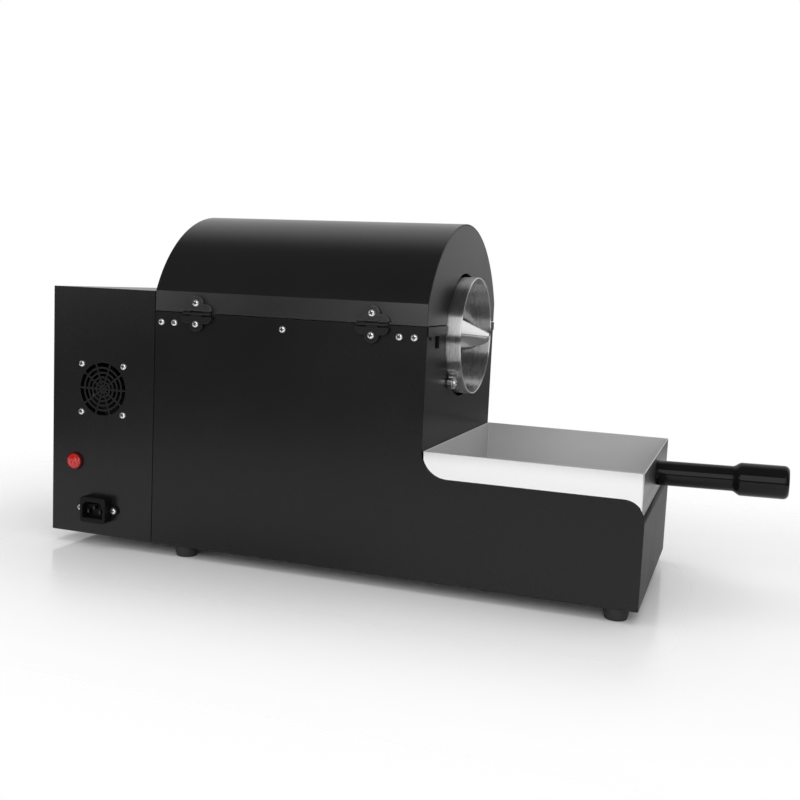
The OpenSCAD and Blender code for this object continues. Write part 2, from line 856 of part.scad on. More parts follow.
module gearbox_case() {
    color([0.5, 0.5, 0.52]) difference() {
        union() {
            rod_x(x_bracket - gearbox_len, x_bracket, y_mid, z_motor, motor_d / 2);
            rod_x(x_bracket - gearbox_len / 2, x_bracket + bracket_t, y_mid, z_axis,
                gearbox_boss_d / 2);
        }
        rod_x(x_bracket - gearbox_len / 2 - cut, x_coupling, y_mid, z_axis,
            motor_shaft_d / 2 + run_fit);
    }
}

module motor_case() {
    x_back = x_bracket - gearbox_len;
    color([0.35, 0.35, 0.36]) rod_x(x_back - motor_can_len, x_back, y_mid, z_motor,
        motor_can_d / 2);
}

// Fan: square frame with a round duct, a hub plate on three arms and a bladed wheel
fan_wall = 1.5;
fan_duct_r = fan_w / 2 - fan_wall;
fan_hub_r = 12;
fan_arm_w = 4;
fan_arm_t = 3;
fan_corner_r = 4;
fan_axle_d = 3;
fan_wheel_gap = 1.5;
blade_count = 7;
blade_pitch = 38;
blade_sheet = 1.4;
y_fan = y_back_in;
y_fan_end = y_fan + fan_t;

module fan_frame() {
    color([0.04, 0.04, 0.04]) difference() {
        union() {
            plate_y(y_fan, fan_t) translate([x_fan, z_fan]) difference() {
                round_rect(fan_w, fan_w, fan_corner_r);
                circle(fan_duct_r);
                for (sx = [-1, 1], sz = [-1, 1]) {
                    translate([sx * fan_pitch / 2, sz * fan_pitch / 2]) circle(screw_hole_d / 2);
                }
            }
            plate_y(y_fan_end - fan_arm_t, fan_arm_t) translate([x_fan, z_fan]) intersection() {
                union() {
                    circle(fan_hub_r);
                    for (a = [90, 210, 330]) rotate(a) translate([0, -fan_arm_w / 2])
                        square([fan_duct_r + fan_corner_r, fan_arm_w]);
                }
                square(fan_w, center = true);
            }
        }
        rod_y(y_fan, y_fan_end + cut, x_fan, z_fan, fan_axle_d / 2 + run_fit);
    }
}

module fan_impeller() {
    y0 = y_fan + fan_wheel_gap;
    y1 = y_fan_end - fan_arm_t - fan_wheel_gap;
    color([0.04, 0.04, 0.04]) {
        rod_y(y0, y1, x_fan, z_fan, fan_hub_r);
        rod_y(y1 - cut, y_fan_end, x_fan, z_fan, fan_axle_d / 2);
        intersection() {
            for (i = [0 : blade_count - 1]) translate([x_fan, (y0 + y1) / 2, z_fan])
                rotate([0, i * 360 / blade_count, 0]) rotate([blade_pitch, 0, 0])
                    translate([0, -fan_t, -blade_sheet / 2])
                        cube([fan_duct_r, 2 * fan_t, blade_sheet]);
            difference() {
                rod_y(y0, y1, x_fan, z_fan, fan_duct_r - fan_wheel_gap);
                rod_y(y0 - cut, y1 + cut, x_fan, z_fan, fan_hub_r / 2);
            }
        }
    }
}

// Mains inlet: flange with two ears, a raised shroud round the socket, and a body behind
socket_w = 24.5;
socket_h = 16.5;
socket_deep = 16;
pin_w = 2;
pin_h = 4;
pin_len = 14;
pin_side = 7;
pin_up = 2;

module power_inlet() {
    color([0.03, 0.03, 0.03]) difference() {
        union() {
            plate_y(y_back - inlet_flange_t, inlet_flange_t) translate([x_inlet, z_inlet]) {
                for (s = [-1, 1]) translate([s * inlet_pitch / 2, 0]) circle(inlet_ear_r);
                square([inlet_pitch, 2 * inlet_ear_r], center = true);
            }
            plate_y(y_back - inlet_reach, inlet_reach) translate([x_inlet, z_inlet])
                round_rect(inlet_shroud_w, inlet_shroud_h, inlet_shroud_r);
            plate_y(y_back, sheet_t + inlet_body_deep) translate([x_inlet, z_inlet])
                square([inlet_body_w, inlet_body_h], center = true);
        }
        plate_y(y_back - inlet_reach - cut, socket_deep + cut) translate([x_inlet, z_inlet])
            round_rect(socket_w, socket_h, inlet_shroud_r / 2);
        for (s = [-1, 1]) rod_y(y_back - inlet_reach, y_back + cut, x_inlet + s * inlet_pitch / 2,
            z_inlet, screw_hole_d / 2);
    }
}

module inlet_pins() {
    y_tip = y_back - inlet_reach + socket_deep - pin_len + cut;
    color([0.8, 0.78, 0.6]) for (s = [-1, 0, 1]) {
        x = x_inlet + s * pin_side;
        z = z_inlet + (s == 0 ? pin_up : -pin_up);
        block(x - pin_w / 2, x + pin_w / 2, y_tip, y_back - inlet_reach + socket_deep,
            z - pin_h / 2, z + pin_h / 2);
    }
}

// Lamp: a red lens in a rim, a barrel through the panel and a nut behind it
lamp_rim_t = 3;
lamp_rim_w = 1.6;
lamp_barrel_len = 24;
lamp_nut_t = 4;

module pilot_lamp_body() {
    rim_r = lamp_d / 2;
    color([0.25, 0.01, 0.01]) difference() {
        union() {
            rod_y(y_back - lamp_rim_t, y_back, x_lamp, z_lamp, rim_r);
            rod_y(y_back, y_back + lamp_barrel_len, x_lamp, z_lamp, lamp_barrel_d / 2);
            translate([x_lamp, y_back_in, z_lamp]) rotate([-90, 0, 0])
                cylinder(h = lamp_nut_t, r = rim_r + lamp_rim_w, $fn = 6);
        }
        rod_y(y_back - lamp_rim_t - cut, y_back, x_lamp, z_lamp, rim_r - lamp_rim_w);
    }
}

module pilot_lens() {
    lens_r = lamp_d / 2 - lamp_rim_w;
    crown = lens_r / 2;
    crown_r = (lens_r * lens_r + crown * crown) / (2 * crown);
    color([0.75, 0.03, 0.03]) intersection() {
        rod_y(y_back - lamp_reach, y_back, x_lamp, z_lamp, lens_r);
        translate([x_lamp, y_back - lamp_reach + crown_r, z_lamp]) sphere(crown_r);
    }
}

// Terminal block on the base plate
terminal_len = 66;
terminal_w = 22;
terminal_h = 18;
terminal_ways = 6;
terminal_well_d = 5;

module terminal_block() {
    x0 = x_fan - terminal_len / 2;
    color([0.85, 0.85, 0.82]) difference() {
        block(x0, x0 + terminal_len, y_mid - terminal_w / 2, y_mid + terminal_w / 2, z_in,
            z_in + terminal_h);
        for (i = [0 : terminal_ways - 1], s = [-1, 1]) {
            rod_z(z_in + terminal_h / 2, z_in + terminal_h + cut,
                x0 + (i + 1 / 2) * terminal_len / terminal_ways, y_mid + s * terminal_w / 4,
                terminal_well_d / 2);
        }
    }
}

// Thermostat and timer: a round body behind the panel with a bushing through it
module control_body(h) {
    z = z_floor + h;
    difference() {
        union() {
            rod_y(y_front_in - control_body_t, y_front_in, x_knob, z, control_body_d / 2);
            rod_y(y_front_in, y_front, x_knob, z, bushing_d / 2);
        }
        rod_y(y_front_in - control_body_t / 2, y_front + cut, x_knob, z, spindle_d / 2 + run_fit);
    }
}

module thermostat_body() {
    color([0.6, 0.6, 0.6]) control_body(heat_knob_h);
}

module timer_body() {
    color([0.75, 0.75, 0.7]) control_body(timer_knob_h);
}

// Knobs with their spindles: a skirt, a grip with two flats and a pointer groove
skirt_t = 3;
knob_grip_share = 0.62;
pointer_w = 1.5;
pointer_deep = 0.8;

module knob(h) {
    z = z_floor + h;
    y0 = y_front + slack;
    grip_half = knob_d / 2 * knob_grip_share;
    color([0.03, 0.03, 0.03]) difference() {
        union() {
            rod_y(y_front_in - control_body_t / 2 + cut, y0, x_knob, z, spindle_d / 2);
            rod_y(y0, y0 + skirt_t, x_knob, z, knob_d / 2);
            intersection() {
                rod_y(y0, y_front + knob_h, x_knob, z, knob_d / 2 - gap);
                block(x_knob - grip_half / 2, x_knob + grip_half / 2, y0, y_front + knob_h,
                    z - knob_d, z + knob_d);
            }
        }
        block(x_knob - pointer_w / 2, x_knob + pointer_w / 2, y_front + knob_h - pointer_deep,
            y_front + knob_h + cut, z, z + knob_d);
    }
}

module heat_knob() {
    knob(heat_knob_h);
}

module timer_knob() {
    knob(timer_knob_h);
}

// Rocker: a bezel with a box behind it, and a key that tilts on two studs
rocker_stud_d = 3;
rocker_key_out = 4;
rocker_key_in = 5;
rocker_dish = 1.2;

module rocker_frame() {
    z = z_floor + rocker_h;
    color([0.03, 0.03, 0.03]) difference() {
        union() {
            plate_y(y_front_in - rocker_deep, rocker_deep + sheet_t) translate([x_knob, z])
                square([rocker_w + 2 * rocker_bezel - slack, rocker_tall + 2 * rocker_bezel - slack],
                    center = true);
            plate_y(y_front, rocker_bezel_t) translate([x_knob, z])
                round_rect(rocker_w + 4 * rocker_bezel, rocker_tall + 4 * rocker_bezel, rocker_bezel);
        }
        plate_y(y_front_in - rocker_deep / 2, rocker_deep) translate([x_knob, z])
            square([rocker_w + 2 * slack, rocker_tall + 2 * slack], center = true);
        rod_x(x_knob - rocker_w / 2 - rocker_bezel / 2, x_knob + rocker_w / 2 + rocker_bezel / 2,
            y_front, z, rocker_stud_d / 2 + run_fit);
    }
}

module drum_rocker() {
    z = z_floor + rocker_h;
    key_r = rocker_tall / 2 - gap;
    color([0.05, 0.05, 0.05]) {
        difference() {
            translate([x_knob - rocker_w / 2, 0, 0]) rotate([90, 0, 90]) linear_extrude(rocker_w)
                intersection() {
                    translate([y_front, z]) circle(key_r);
                    translate([y_front - rocker_key_in, z - key_r])
                        square([rocker_key_in + rocker_key_out, 2 * key_r]);
                }
            rod_x(x_knob - rocker_w, x_knob + rocker_w,
                y_front + rocker_key_out - rocker_dish + 2 * rocker_tall, z, 2 * rocker_tall);
        }
        rod_x(x_knob - rocker_w / 2 - rocker_bezel / 2 + slack,
            x_knob + rocker_w / 2 + rocker_bezel / 2 - slack, y_front, z, rocker_stud_d / 2);
    }
}

// Lid: its outline across the object is two upright flanges and an arc between the creases
lid_gap = 0.6;
lid_arc_r = (pow(body_w / 2, 2) + pow(lid_rise, 2)) / (2 * lid_rise);
z_lid_arc = z_lid_top - lid_arc_r;
x_lid = x_wall + lid_gap;
lid_len = x_mouth - x_lid;

// The lid's cross-section, drawn in by a margin all round and open at the seam
module lid_section(margin, z_bottom) {
    intersection() {
        translate([0, z_lid_arc]) circle(lid_arc_r - margin);
        translate([-body_w / 2 + margin, z_bottom])
            square([body_w - 2 * margin, z_lid_top - z_bottom]);
    }
    translate([-body_w / 2 + margin, z_bottom])
        square([body_w - 2 * margin, z_box - z_bottom]);
}

module lid_shell() {
    color([0.06, 0.06, 0.065]) difference() {
        plate_x(x_lid, lid_len) difference() {
            lid_section(0, z_seam + lid_gap);
            lid_section(sheet_t, z_seam - cut);
        }
        for (x = hinge_x) rod_y(y_back - cut, y_mid, x, z_seam + hinge_screw_up, screw_hole_d / 2);
    }
}

module lid_rear_plate() {
    color([0.06, 0.06, 0.065]) plate_x(x_lid, sheet_t) lid_section(sheet_t, z_seam + lid_gap);
}

module lid_mouth_plate() {
    color([0.09, 0.09, 0.095]) plate_x(x_mouth - sheet_t, sheet_t) difference() {
        lid_section(sheet_t, z_seam + lid_gap);
        translate([0, z_axis]) circle(mouth_r);
    }
}

// Lid liner: an arch round the drum with ledges out to the shell's flanges
lid_liner_room = 10;
lid_liner_r = drum_r + lid_liner_room;
lid_liner_up = 4;
lid_liner_lip = 12;

module lid_liner() {
    z0 = z_seam + lid_liner_up;
    x0 = x_lid + sheet_t;
    color([0.6, 0.6, 0.6]) difference() {
        plate_x(x0, x_mouth - sheet_t - x0) {
            difference() {
                translate([0, z_axis]) circle(lid_liner_r + liner_t);
                translate([0, z_axis]) circle(lid_liner_r);
                translate([-body_w / 2, z_axis - body_w]) square([body_w, body_w + z0 - z_axis]);
            }
            for (s = [0, 1]) mirror([s, 0]) {
                edge = sqrt(pow(lid_liner_r + liner_t / 2, 2) - pow(z0 - z_axis, 2));
                translate([edge, z0]) square([half_in - edge, liner_t]);
                translate([half_in - liner_t, z0]) square([liner_t, lid_liner_lip]);
            }
        }
        for (x = hinge_x) {
            rod_y(y_back, y_back_in + 2 * liner_t, x, z_seam + hinge_screw_up, screw_hole_d / 2);
        }
    }
}

module lid_insulation() {
    z0 = z_seam + lid_liner_up + liner_t + slack;
    x0 = x_lid + sheet_t;
    color([0.85, 0.83, 0.78]) plate_x(x0, x_mouth - sheet_t - x0) difference() {
        lid_section(sheet_t + liner_t + slack, z0);
        translate([0, z_axis]) circle(lid_liner_r + liner_t + slack);
    }
}

// Lid handle: a round bar on two posts, on the operator's side
lid_handle_bar_d = 9;
lid_handle_bend = 14;
lid_handle_pad_d = 15;
lid_handle_pad_t = 2;

module lid_handle() {
    z = (z_seam + lid_gap + z_box) / 2;
    x_mid = (x_wall + x_mouth) / 2;
    half = lid_handle_w / 2;
    bar_r = lid_handle_bar_d / 2;
    y_bar = y_front + lid_handle_reach - bar_r;
    color([0.03, 0.03, 0.03]) {
        for (s = [0, 1]) translate([x_mid, 0, z]) mirror([s, 0, 0]) {
            translate([half - lid_handle_bend, y_bar - lid_handle_bend, 0])
                rotate_extrude(angle = 90) translate([lid_handle_bend, 0]) circle(bar_r);
            rod_y(y_front, y_bar - lid_handle_bend, half, 0, bar_r);
            rod_y(y_front, y_front + lid_handle_pad_t, half, 0, lid_handle_pad_d / 2);
        }
        rod_x(x_mid - half + lid_handle_bend, x_mid + half - lid_handle_bend, y_bar, z, bar_r);
    }
}

// Hinges: each leaf has one screw, and the knuckles share a pin in the plane of the seam
hinge_mid_h = 20;
hinge_mid_r = 7;
hinge_lobe_r = 7.5;
hinge_relief = 3;
hinge_pin_d = 2.5;
knuckle_w = 12;
knuckle_r = hinge_t / 2 - slack;
y_pin = y_back - hinge_t / 2;

module hinge_outline() {
    round_rect(hinge_w, hinge_mid_h, hinge_mid_r);
    for (s = [-1, 1]) translate([0, s * hinge_screw_up]) circle(hinge_lobe_r);
}

// One leaf below the seam, with knuckles over the given spans of its width
module hinge_leaf(spans, fit) {
    difference() {
        union() {
            plate_y(-hinge_t / 2, hinge_t) intersection() {
                hinge_outline();
                translate([-hinge_w, -2 * hinge_w - hinge_relief]) square(2 * hinge_w);
            }
            for (p = spans) {
                block(p[0], p[1], -knuckle_r, knuckle_r, -hinge_relief - cut, 0);
                rod_x(p[0], p[1], 0, 0, knuckle_r);
            }
        }
        rod_x(-hinge_w, hinge_w, 0, 0, hinge_pin_d / 2 + fit);
        rod_y(-hinge_t, hinge_t, 0, -hinge_screw_up, screw_hole_d / 2);
    }
}

module hinge_leaves_lower() {
    color([0.03, 0.03, 0.03]) for (x = hinge_x) translate([x, y_pin, z_seam])
        hinge_leaf([[-knuckle_w / 2, knuckle_w / 2]], 0);
}

module hinge_leaves_upper() {
    inner = knuckle_w / 2 + slack;
    outer = hinge_w / 2 - hinge_t / 2;
    color([0.03, 0.03, 0.03]) for (x = hinge_x) translate([x, y_pin, z_seam])
        mirror([0, 0, 1]) hinge_leaf([[-outer, -inner], [inner, outer]], run_fit);
}

module hinge_pins() {
    outer = hinge_w / 2 - hinge_t / 2;
    color([0.8, 0.8, 0.82]) for (x = hinge_x) rod_x(x - outer, x + outer, y_pin, z_seam, hinge_pin_d / 2);
}

module hinge_screws_upper() {
    color([0.8, 0.8, 0.82]) for (x = hinge_x) {
        screw_back(x, y_back - hinge_t, z_seam + hinge_screw_up, hinge_t + sheet_t + liner_t);
    }
}

// Tray: an open box of polished sheet that slides on the shelf between the side panels
tray_lift = 0.3;
tray_side_gap = 0.7;
tray_rear_gap = 0.6;
x_tray = x_mouth + tray_rear_gap;
x_tray_end = x_end - tray_end_set;
z_tray = z_shelf + tray_lift;
tray_half = half_in - tray_side_gap;
handle_drop = 6;
z_handle = z_tray + tray_h - handle_d / 2 - handle_drop;

module collecting_tray() {
    color([0.8, 0.8, 0.82]) difference() {
        block(x_tray, x_tray_end, y_mid - tray_half, y_mid + tray_half, z_tray, z_tray + tray_h);
        block(x_tray + tray_t, x_tray_end - tray_t, y_mid - tray_half + tray_t,
            y_mid + tray_half - tray_t, z_tray + tray_t, z_tray + tray_h + cut);
        rod_x(x_tray, x_end, y_mid, z_handle, handle_bolt_d / 2);
    }
}

// Tray handle: a straight shank that swells into a thicker grip with a rounded end
handle_flare = 8;

module tray_handle() {
    shank_r = handle_d / 2;
    grip_r = grip_d / 2;
    color([0.02, 0.02, 0.02]) difference() {
        translate([x_tray_end, y_mid, z_handle]) rotate([0, 90 - handle_tilt, 0]) {
            translate([0, 0, -cut]) cylinder(h = handle_len - grip_len + cut, r = shank_r);
            translate([0, 0, handle_len - grip_len])
                cylinder(h = handle_flare, r1 = shank_r, r2 = grip_r);
            translate([0, 0, handle_len - grip_len + handle_flare])
                cylinder(h = grip_len - handle_flare - grip_end_r, r = grip_r);
            translate([0, 0, handle_len - grip_end_r]) rotate_extrude() {
                square([grip_r - grip_end_r, grip_end_r]);
                translate([grip_r - grip_end_r, 0]) intersection() {
                    circle(grip_end_r);
                    square(grip_end_r);
                }
            }
        }
        block(x_tray_end - grip_d, x_tray_end, y_mid - grip_d, y_mid + grip_d,
            z_handle - grip_d, z_handle + grip_d);
        rod_x(x_tray_end - cut, x_tray_end + handle_bolt_len, y_mid, z_handle,
            handle_bolt_d / 2);
    }
}

// The bolt that holds the handle, its hexagon head and washer inside the tray
handle_bolt_d = 6;
handle_bolt_len = 45;
handle_bolt_head_w = 11.5;
handle_bolt_head_t = 4;
handle_washer_d = 18;
handle_washer_t = 1.5;

module handle_bolt() {
    x_in = x_tray_end - tray_t;
    color([0.75, 0.75, 0.77]) {
        rod_x(x_in, x_tray_end + handle_bolt_len, y_mid, z_handle, handle_bolt_d / 2);
        rod_x(x_in - handle_washer_t, x_in, y_mid, z_handle, handle_washer_d / 2);
        translate([x_in - handle_washer_t - handle_bolt_head_t, y_mid, z_handle])
            rotate([0, 90, 0])
                cylinder(h = handle_bolt_head_t, r = handle_bolt_head_w / 2, $fn = 6);
    }
}

base_plate();
back_side_panel();
front_side_panel();
mouth_end_plate();
tray_shelf();
motor_bulkhead();
control_box_cover();
control_back_panel();
control_front_panel();
rubber_feet();
foot_screws();
cabinet_screws();
chamber_liner();
chamber_insulation();
heating_elements();
element_bushes();
temperature_probe();
roller_bolts();
back_roller();
front_roller();
drum_shell();
drum_rear_head();
drum_front_ring();
drum_neck();
discharge_blade();
mixing_vanes();
drum_shaft();
shaft_coupling();
motor_shaft();
shaft_bearing();
bulkhead_bolts();
motor_bracket();
gearbox_case();
motor_case();
fan_frame();
fan_impeller();
power_inlet();
inlet_pins();
pilot_lamp_body();
pilot_lens();
terminal_block();
thermostat_body();
timer_body();
rocker_frame();
heat_knob();
timer_knob();
drum_rocker();
lid_shell();
lid_rear_plate();
lid_mouth_plate();
lid_liner();
lid_insulation();
lid_handle();
hinge_leaves_lower();
hinge_leaves_upper();
hinge_pins();
hinge_screws_upper();
collecting_tray();
tray_handle();
handle_bolt();
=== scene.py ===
import bmesh
import bpy
import numpy as np
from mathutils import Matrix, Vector
from mathutils.geometry import tessellate_polygon


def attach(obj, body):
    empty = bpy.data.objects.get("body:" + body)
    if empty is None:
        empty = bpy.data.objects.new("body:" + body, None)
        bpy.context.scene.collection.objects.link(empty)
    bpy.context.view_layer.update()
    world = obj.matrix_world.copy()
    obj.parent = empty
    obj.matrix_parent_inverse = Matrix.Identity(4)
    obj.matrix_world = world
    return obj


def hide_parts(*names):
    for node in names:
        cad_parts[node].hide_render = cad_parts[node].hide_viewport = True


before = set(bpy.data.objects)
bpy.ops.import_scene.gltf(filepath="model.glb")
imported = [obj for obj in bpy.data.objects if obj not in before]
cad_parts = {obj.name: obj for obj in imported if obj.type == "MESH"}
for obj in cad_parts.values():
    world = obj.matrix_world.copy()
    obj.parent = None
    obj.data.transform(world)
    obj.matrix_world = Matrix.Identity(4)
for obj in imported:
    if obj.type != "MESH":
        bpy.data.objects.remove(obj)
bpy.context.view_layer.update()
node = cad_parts

# The studio: a camera low and to the right of the hinge side, a white sweep behind the
# roaster, a dim room behind the camera, and a pale floor with a little gloss.
scene = bpy.context.scene
scene.view_settings.view_transform = "Standard"


def placed(name, data):
    """A new object in the scene."""
    made = bpy.data.objects.new(name, data)
    scene.collection.objects.link(made)
    return made


eye = placed("eye", bpy.data.cameras.new("eye"))
eye.data.lens = 45.92
eye.data.clip_start = 0.01
eye.location = (0.32496, -1.02074, 0.28661)
eye.rotation_euler = np.radians([83.532, -2.624, 19.335])
scene.camera = eye


def wire(tree, kind, settings=None, **inputs):
    """Adds one shader node. An input is a plain value, an output socket, or another node, whose
    first output is meant; an input named i and a number is found by its place."""
    made = tree.nodes.new("ShaderNode" + kind)
    for key, value in (settings or {}).items():
        setattr(made, key, value)
    for key, value in inputs.items():
        by_place = key[0] == "i" and key[1:].isdigit()
        socket = made.inputs[int(key[1:])] if by_place else made.inputs[key.replace("_", " ")]
        if isinstance(value, bpy.types.Node):
            value = value.outputs[0]
        if isinstance(value, bpy.types.NodeSocket):
            tree.links.new(value, socket)
        else:
            socket.default_value = value
    return made


def ramp(tree, value, start, stop, low=0.0, high=1.0, kind="SMOOTHSTEP"):
    """A value mapped from the span start to stop onto the span low to high, and held inside it."""
    return wire(tree, "MapRange", {"interpolation_type": kind}, Value=value, From_Min=start,
                From_Max=stop, To_Min=low, To_Max=high)


room = bpy.data.worlds.new("studio_room")
scene.world = room
room.use_nodes = True
air = room.node_tree
air.nodes.clear()
ray = wire(air, "LightPath")
facing = wire(air, "SeparateXYZ", Vector=wire(air, "TexCoord").outputs["Generated"])
sweep = ramp(air, facing.outputs["Y"], 0.1, 0.6)
ahead = ramp(air, facing.outputs["Z"], -0.12, 0.04, 0.08, 0.75)
room_side = ramp(air, facing.outputs["Z"], -0.3, -0.18, 1.0, 0.08)
reflected = wire(air, "Mix", i0=sweep, i2=room_side, i3=ahead)
mirrored = wire(air, "Math", {"operation": "MAXIMUM"}, i0=ray.outputs["Is Glossy Ray"],
                i1=ray.outputs["Is Transmission Ray"])
behind = wire(air, "Mix", i0=mirrored, i2=0.65, i3=reflected)
white = wire(air, "Mix", i0=ray.outputs["Is Camera Ray"], i2=behind, i3=1.0)
glow = wire(air, "Background", Color=(1, 1, 1, 1), Strength=white)
wire(air, "OutputWorld", Surface=glow)


def softbox(name, at, towards, size, level, in_gloss=True):
    """An area lamp that faces a point. Its power is level x pi x its area, so that its face shows
    that level of white; one that isn't in_gloss lights without being mirrored."""
    lamp = placed(name, bpy.data.lights.new(name, "AREA"))
    lamp.data.shape = "RECTANGLE"
    lamp.data.size, lamp.data.size_y = size
    lamp.data.energy = level * np.pi * size[0] * size[1]
    lamp.location = at
    lamp.rotation_euler = (Vector(towards) - Vector(at)).to_track_quat("-Z", "Y").to_euler()
    lamp.visible_glossy = in_gloss


softbox("overhead_softbox", (0.0, 0.0, 2.4), (0.0, 0.0, 0.2), (3.0, 2.4), 0.95, False)
softbox("key_softbox", (0.2, -2.2, 0.98), (0.05, 0.0, 0.24), (2.1, 1.5), 1.8)
softbox("left_softbox", (-1.74, -1.8, 0.64), (-0.3, -0.13, 0.24), (0.7, 0.72), 1.9)
softbox("right_softbox", (1.45, -1.45, 0.95), (0.05, 0.0, 0.24), (0.5, 1.35), 1.8)

floor_half = 4
floor_mesh = bpy.data.meshes.new("studio_floor")
floor_mesh.from_pydata([(x, y, 0) for x in (-floor_half, floor_half) for y in (-floor_half, floor_half)],
                       [], [(0, 2, 3, 1)])
studio_floor = placed("studio_floor", floor_mesh)
paper = bpy.data.materials.new("studio_paper")
paper.use_nodes = True
lay = paper.node_tree
lay.nodes.clear()
spot = wire(lay, "TexCoord").outputs["Object"]
reach = wire(lay, "VectorMath", {"operation": "LENGTH"}, i0=spot)
fade = ramp(lay, reach.outputs["Value"], 0.8, 1.2)


def away_from(middle, half, stretch):
    """How far a spot of the floor lies outside a rectangle: the length of stretch times
    |spot - middle| - half, where it is above nought."""
    past, nought = spot, (0, 0, 0)
    for operation, value in (("SUBTRACT", middle), ("ABSOLUTE", nought), ("SUBTRACT", half),
                             ("MAXIMUM", nought), ("MULTIPLY", stretch), ("LENGTH", nought)):
        past = wire(lay, "VectorMath", {"operation": operation}, i0=past, i1=value)
    return past.outputs["Value"]


gloss = ramp(lay, away_from((-0.06, -0.07, 0), (0.306, 0.07, 0), (2.5, 1, 0)), 0.0, 0.22, 0.06, 0.55,
             "LINEAR")
near_fade = ramp(lay, away_from((0, 0, 0), (0.37, 0.14, 0), (1, 1, 0)), 0.06, 0.42)
seen = wire(lay, "LightPath").outputs["Is Camera Ray"]
face = wire(lay, "BsdfPrincipled", Base_Color=(0.94, 0.94, 0.94, 1), Roughness=gloss)
clear = wire(lay, "BsdfTransparent")
gone = wire(lay, "Mix", i0=seen, i2=fade, i3=near_fade)
faded = wire(lay, "MixShader", i0=gone, i1=face, i2=clear)
wire(lay, "OutputMaterial", Surface=faded)
floor_mesh.materials.append(paper)


# The base plate: the flat bottom sheet of the cabinet, pierced with rows of air slots and
# powder coated black together with the rest of the cabinet.
def finish(name, low, high, metal=0.0, rough=(0.4, 0.5), patch=25.0, grain=900.0, depth=2e-5,
           lie=(1, 1, 1), around=None, wave=0.0, blue=0.0, **shader):
    """A material from two noises on Object coordinates. The wide one moves the colour from low to
    high and the roughness over its pair, and leans the surface by wave; the fine one lifts it by
    depth. lie stretches both. around is a point (y, z) in millimetres on an axis along X: the
    grain is then a function of x and of the distance from that axis alone, so it runs in rings.
    Where low and high are numbers, they are greys with blue added to their blue."""
    low, high = ((*c, 1) if isinstance(c, tuple) else (c, c, c + blue, 1) for c in (low, high))
    made = bpy.data.materials.new(name)
    made.use_nodes = True
    tree = made.node_tree
    tree.nodes.clear()
    place = wire(tree, "TexCoord").outputs["Object"]
    if around:
        middle = (0, -around[0] / 1000, -around[1] / 1000)
        part = wire(tree, "SeparateXYZ", Vector=wire(tree, "Mapping", i0=place, i1=middle))
        disc = wire(tree, "CombineXYZ", Y=part.outputs["Y"], Z=part.outputs["Z"])
        far = wire(tree, "VectorMath", {"operation": "LENGTH"}, i0=disc)
        place = wire(tree, "CombineXYZ", X=part.outputs["X"], Y=far.outputs["Value"])
    place = wire(tree, "Mapping", i0=place, i3=lie)
    wide = wire(tree, "TexNoise", Vector=place, Scale=patch, Detail=4.0)
    fine = wire(tree, "TexNoise", Vector=place, Scale=grain, Detail=2.0)
    colour = wire(tree, "Mix", {"data_type": "RGBA"}, i0=wide, i6=low, i7=high)
    both = wire(tree, "Math", {"operation": "ADD"}, i0=wide, i1=fine)
    sheen = ramp(tree, both, 0.7, 1.3, *rough, "LINEAR")
    lift = wire(tree, "Bump", Height=fine, Distance=depth)
    if wave:
        lift = wire(tree, "Bump", Height=wide, Distance=wave, Normal=lift)
    if "Anisotropic" in shader:
        round_x = wire(tree, "Tangent", {"direction_type": "RADIAL", "axis": "X"})
        shader["Tangent"] = round_x
    skin = wire(tree, "BsdfPrincipled", Base_Color=colour.outputs[2], Roughness=sheen,
                Metallic=metal, Normal=lift, **shader)
    wire(tree, "OutputMaterial", Surface=skin)
    return made


def coat(material, *names):
    """Puts one material on CAD nodes."""
    for name in names:
        node[name].data.materials.clear()
        node[name].data.materials.append(material)


def powder_coat(name, low, high, rough, patch, level, wave=0.0, grain=1500):
    """A black powder coat: two near blacks, a fine orange peel, and level as its mirror level."""
    return finish(name, low, high, rough=rough, patch=patch, grain=grain, depth=8e-6, wave=wave,
                  blue=0.0005, Specular_IOR_Level=level)


black_coat = powder_coat("black_powder_coat", 0.0055, 0.0085, (0.22, 0.28), 9, 0.26, 0.0002)
coat(black_coat, "base_plate")


# The side panels: two flat sheets that run from the control box to the right end, cut down
# beside the tray with a hollow corner at the left and a round one at the right.
def unit(vectors):
    """Each vector over its length."""
    return vectors / np.linalg.norm(vectors, axis=-1, keepdims=True)


def softened(corners, radii, steps=6):
    """Rounds the corners of a closed polygon. Each corner gives way to an arc whose centre lies on
    the line that halves the corner, radius / sin(half the angle) away from it."""
    p = np.asarray(corners, float)
    r = np.broadcast_to(np.asarray(radii, float), len(p))[:, None]
    back, ahead = unit(np.roll(p, 1, 0) - p), unit(np.roll(p, -1, 0) - p)
    half = np.arccos(np.clip((back * ahead).sum(1), -1, 1))[:, None] / 2
    centre = p + unit(back + ahead) * r / np.sin(half)
    start = (p + back * r / np.tan(half) - centre)[:, None]
    stop = (p + ahead * r / np.tan(half) - centre)[:, None]
    whole = (np.pi - 2 * half)[:, None]
    turn = whole * np.linspace(0, 1, steps)[None, :, None]
    arc = (np.sin(whole - turn) * start + np.sin(turn) * stop) / np.sin(whole)
    loop = (centre[:, None] + arc).reshape(-1, 2)
    return loop[np.linalg.norm(loop - np.roll(loop, 1, 0), axis=1) > 0.01]


def grid(points, round_rows=False, round_columns=False):
    """Joins each point of a grid to its neighbours; a round grid also joins its last row or
    column to its first."""
    n, m = points.shape[:2]
    index = np.arange(n * m).reshape(n, m)
    if round_rows:
        index = np.vstack([index, index[:1]])
    if round_columns:
        index = np.hstack([index, index[:, :1]])
    quads = np.stack([index[:-1, :-1], index[1:, :-1], index[1:, 1:], index[:-1, 1:]], -1)
    return points.reshape(-1, 3), quads.reshape(-1, 4).tolist()


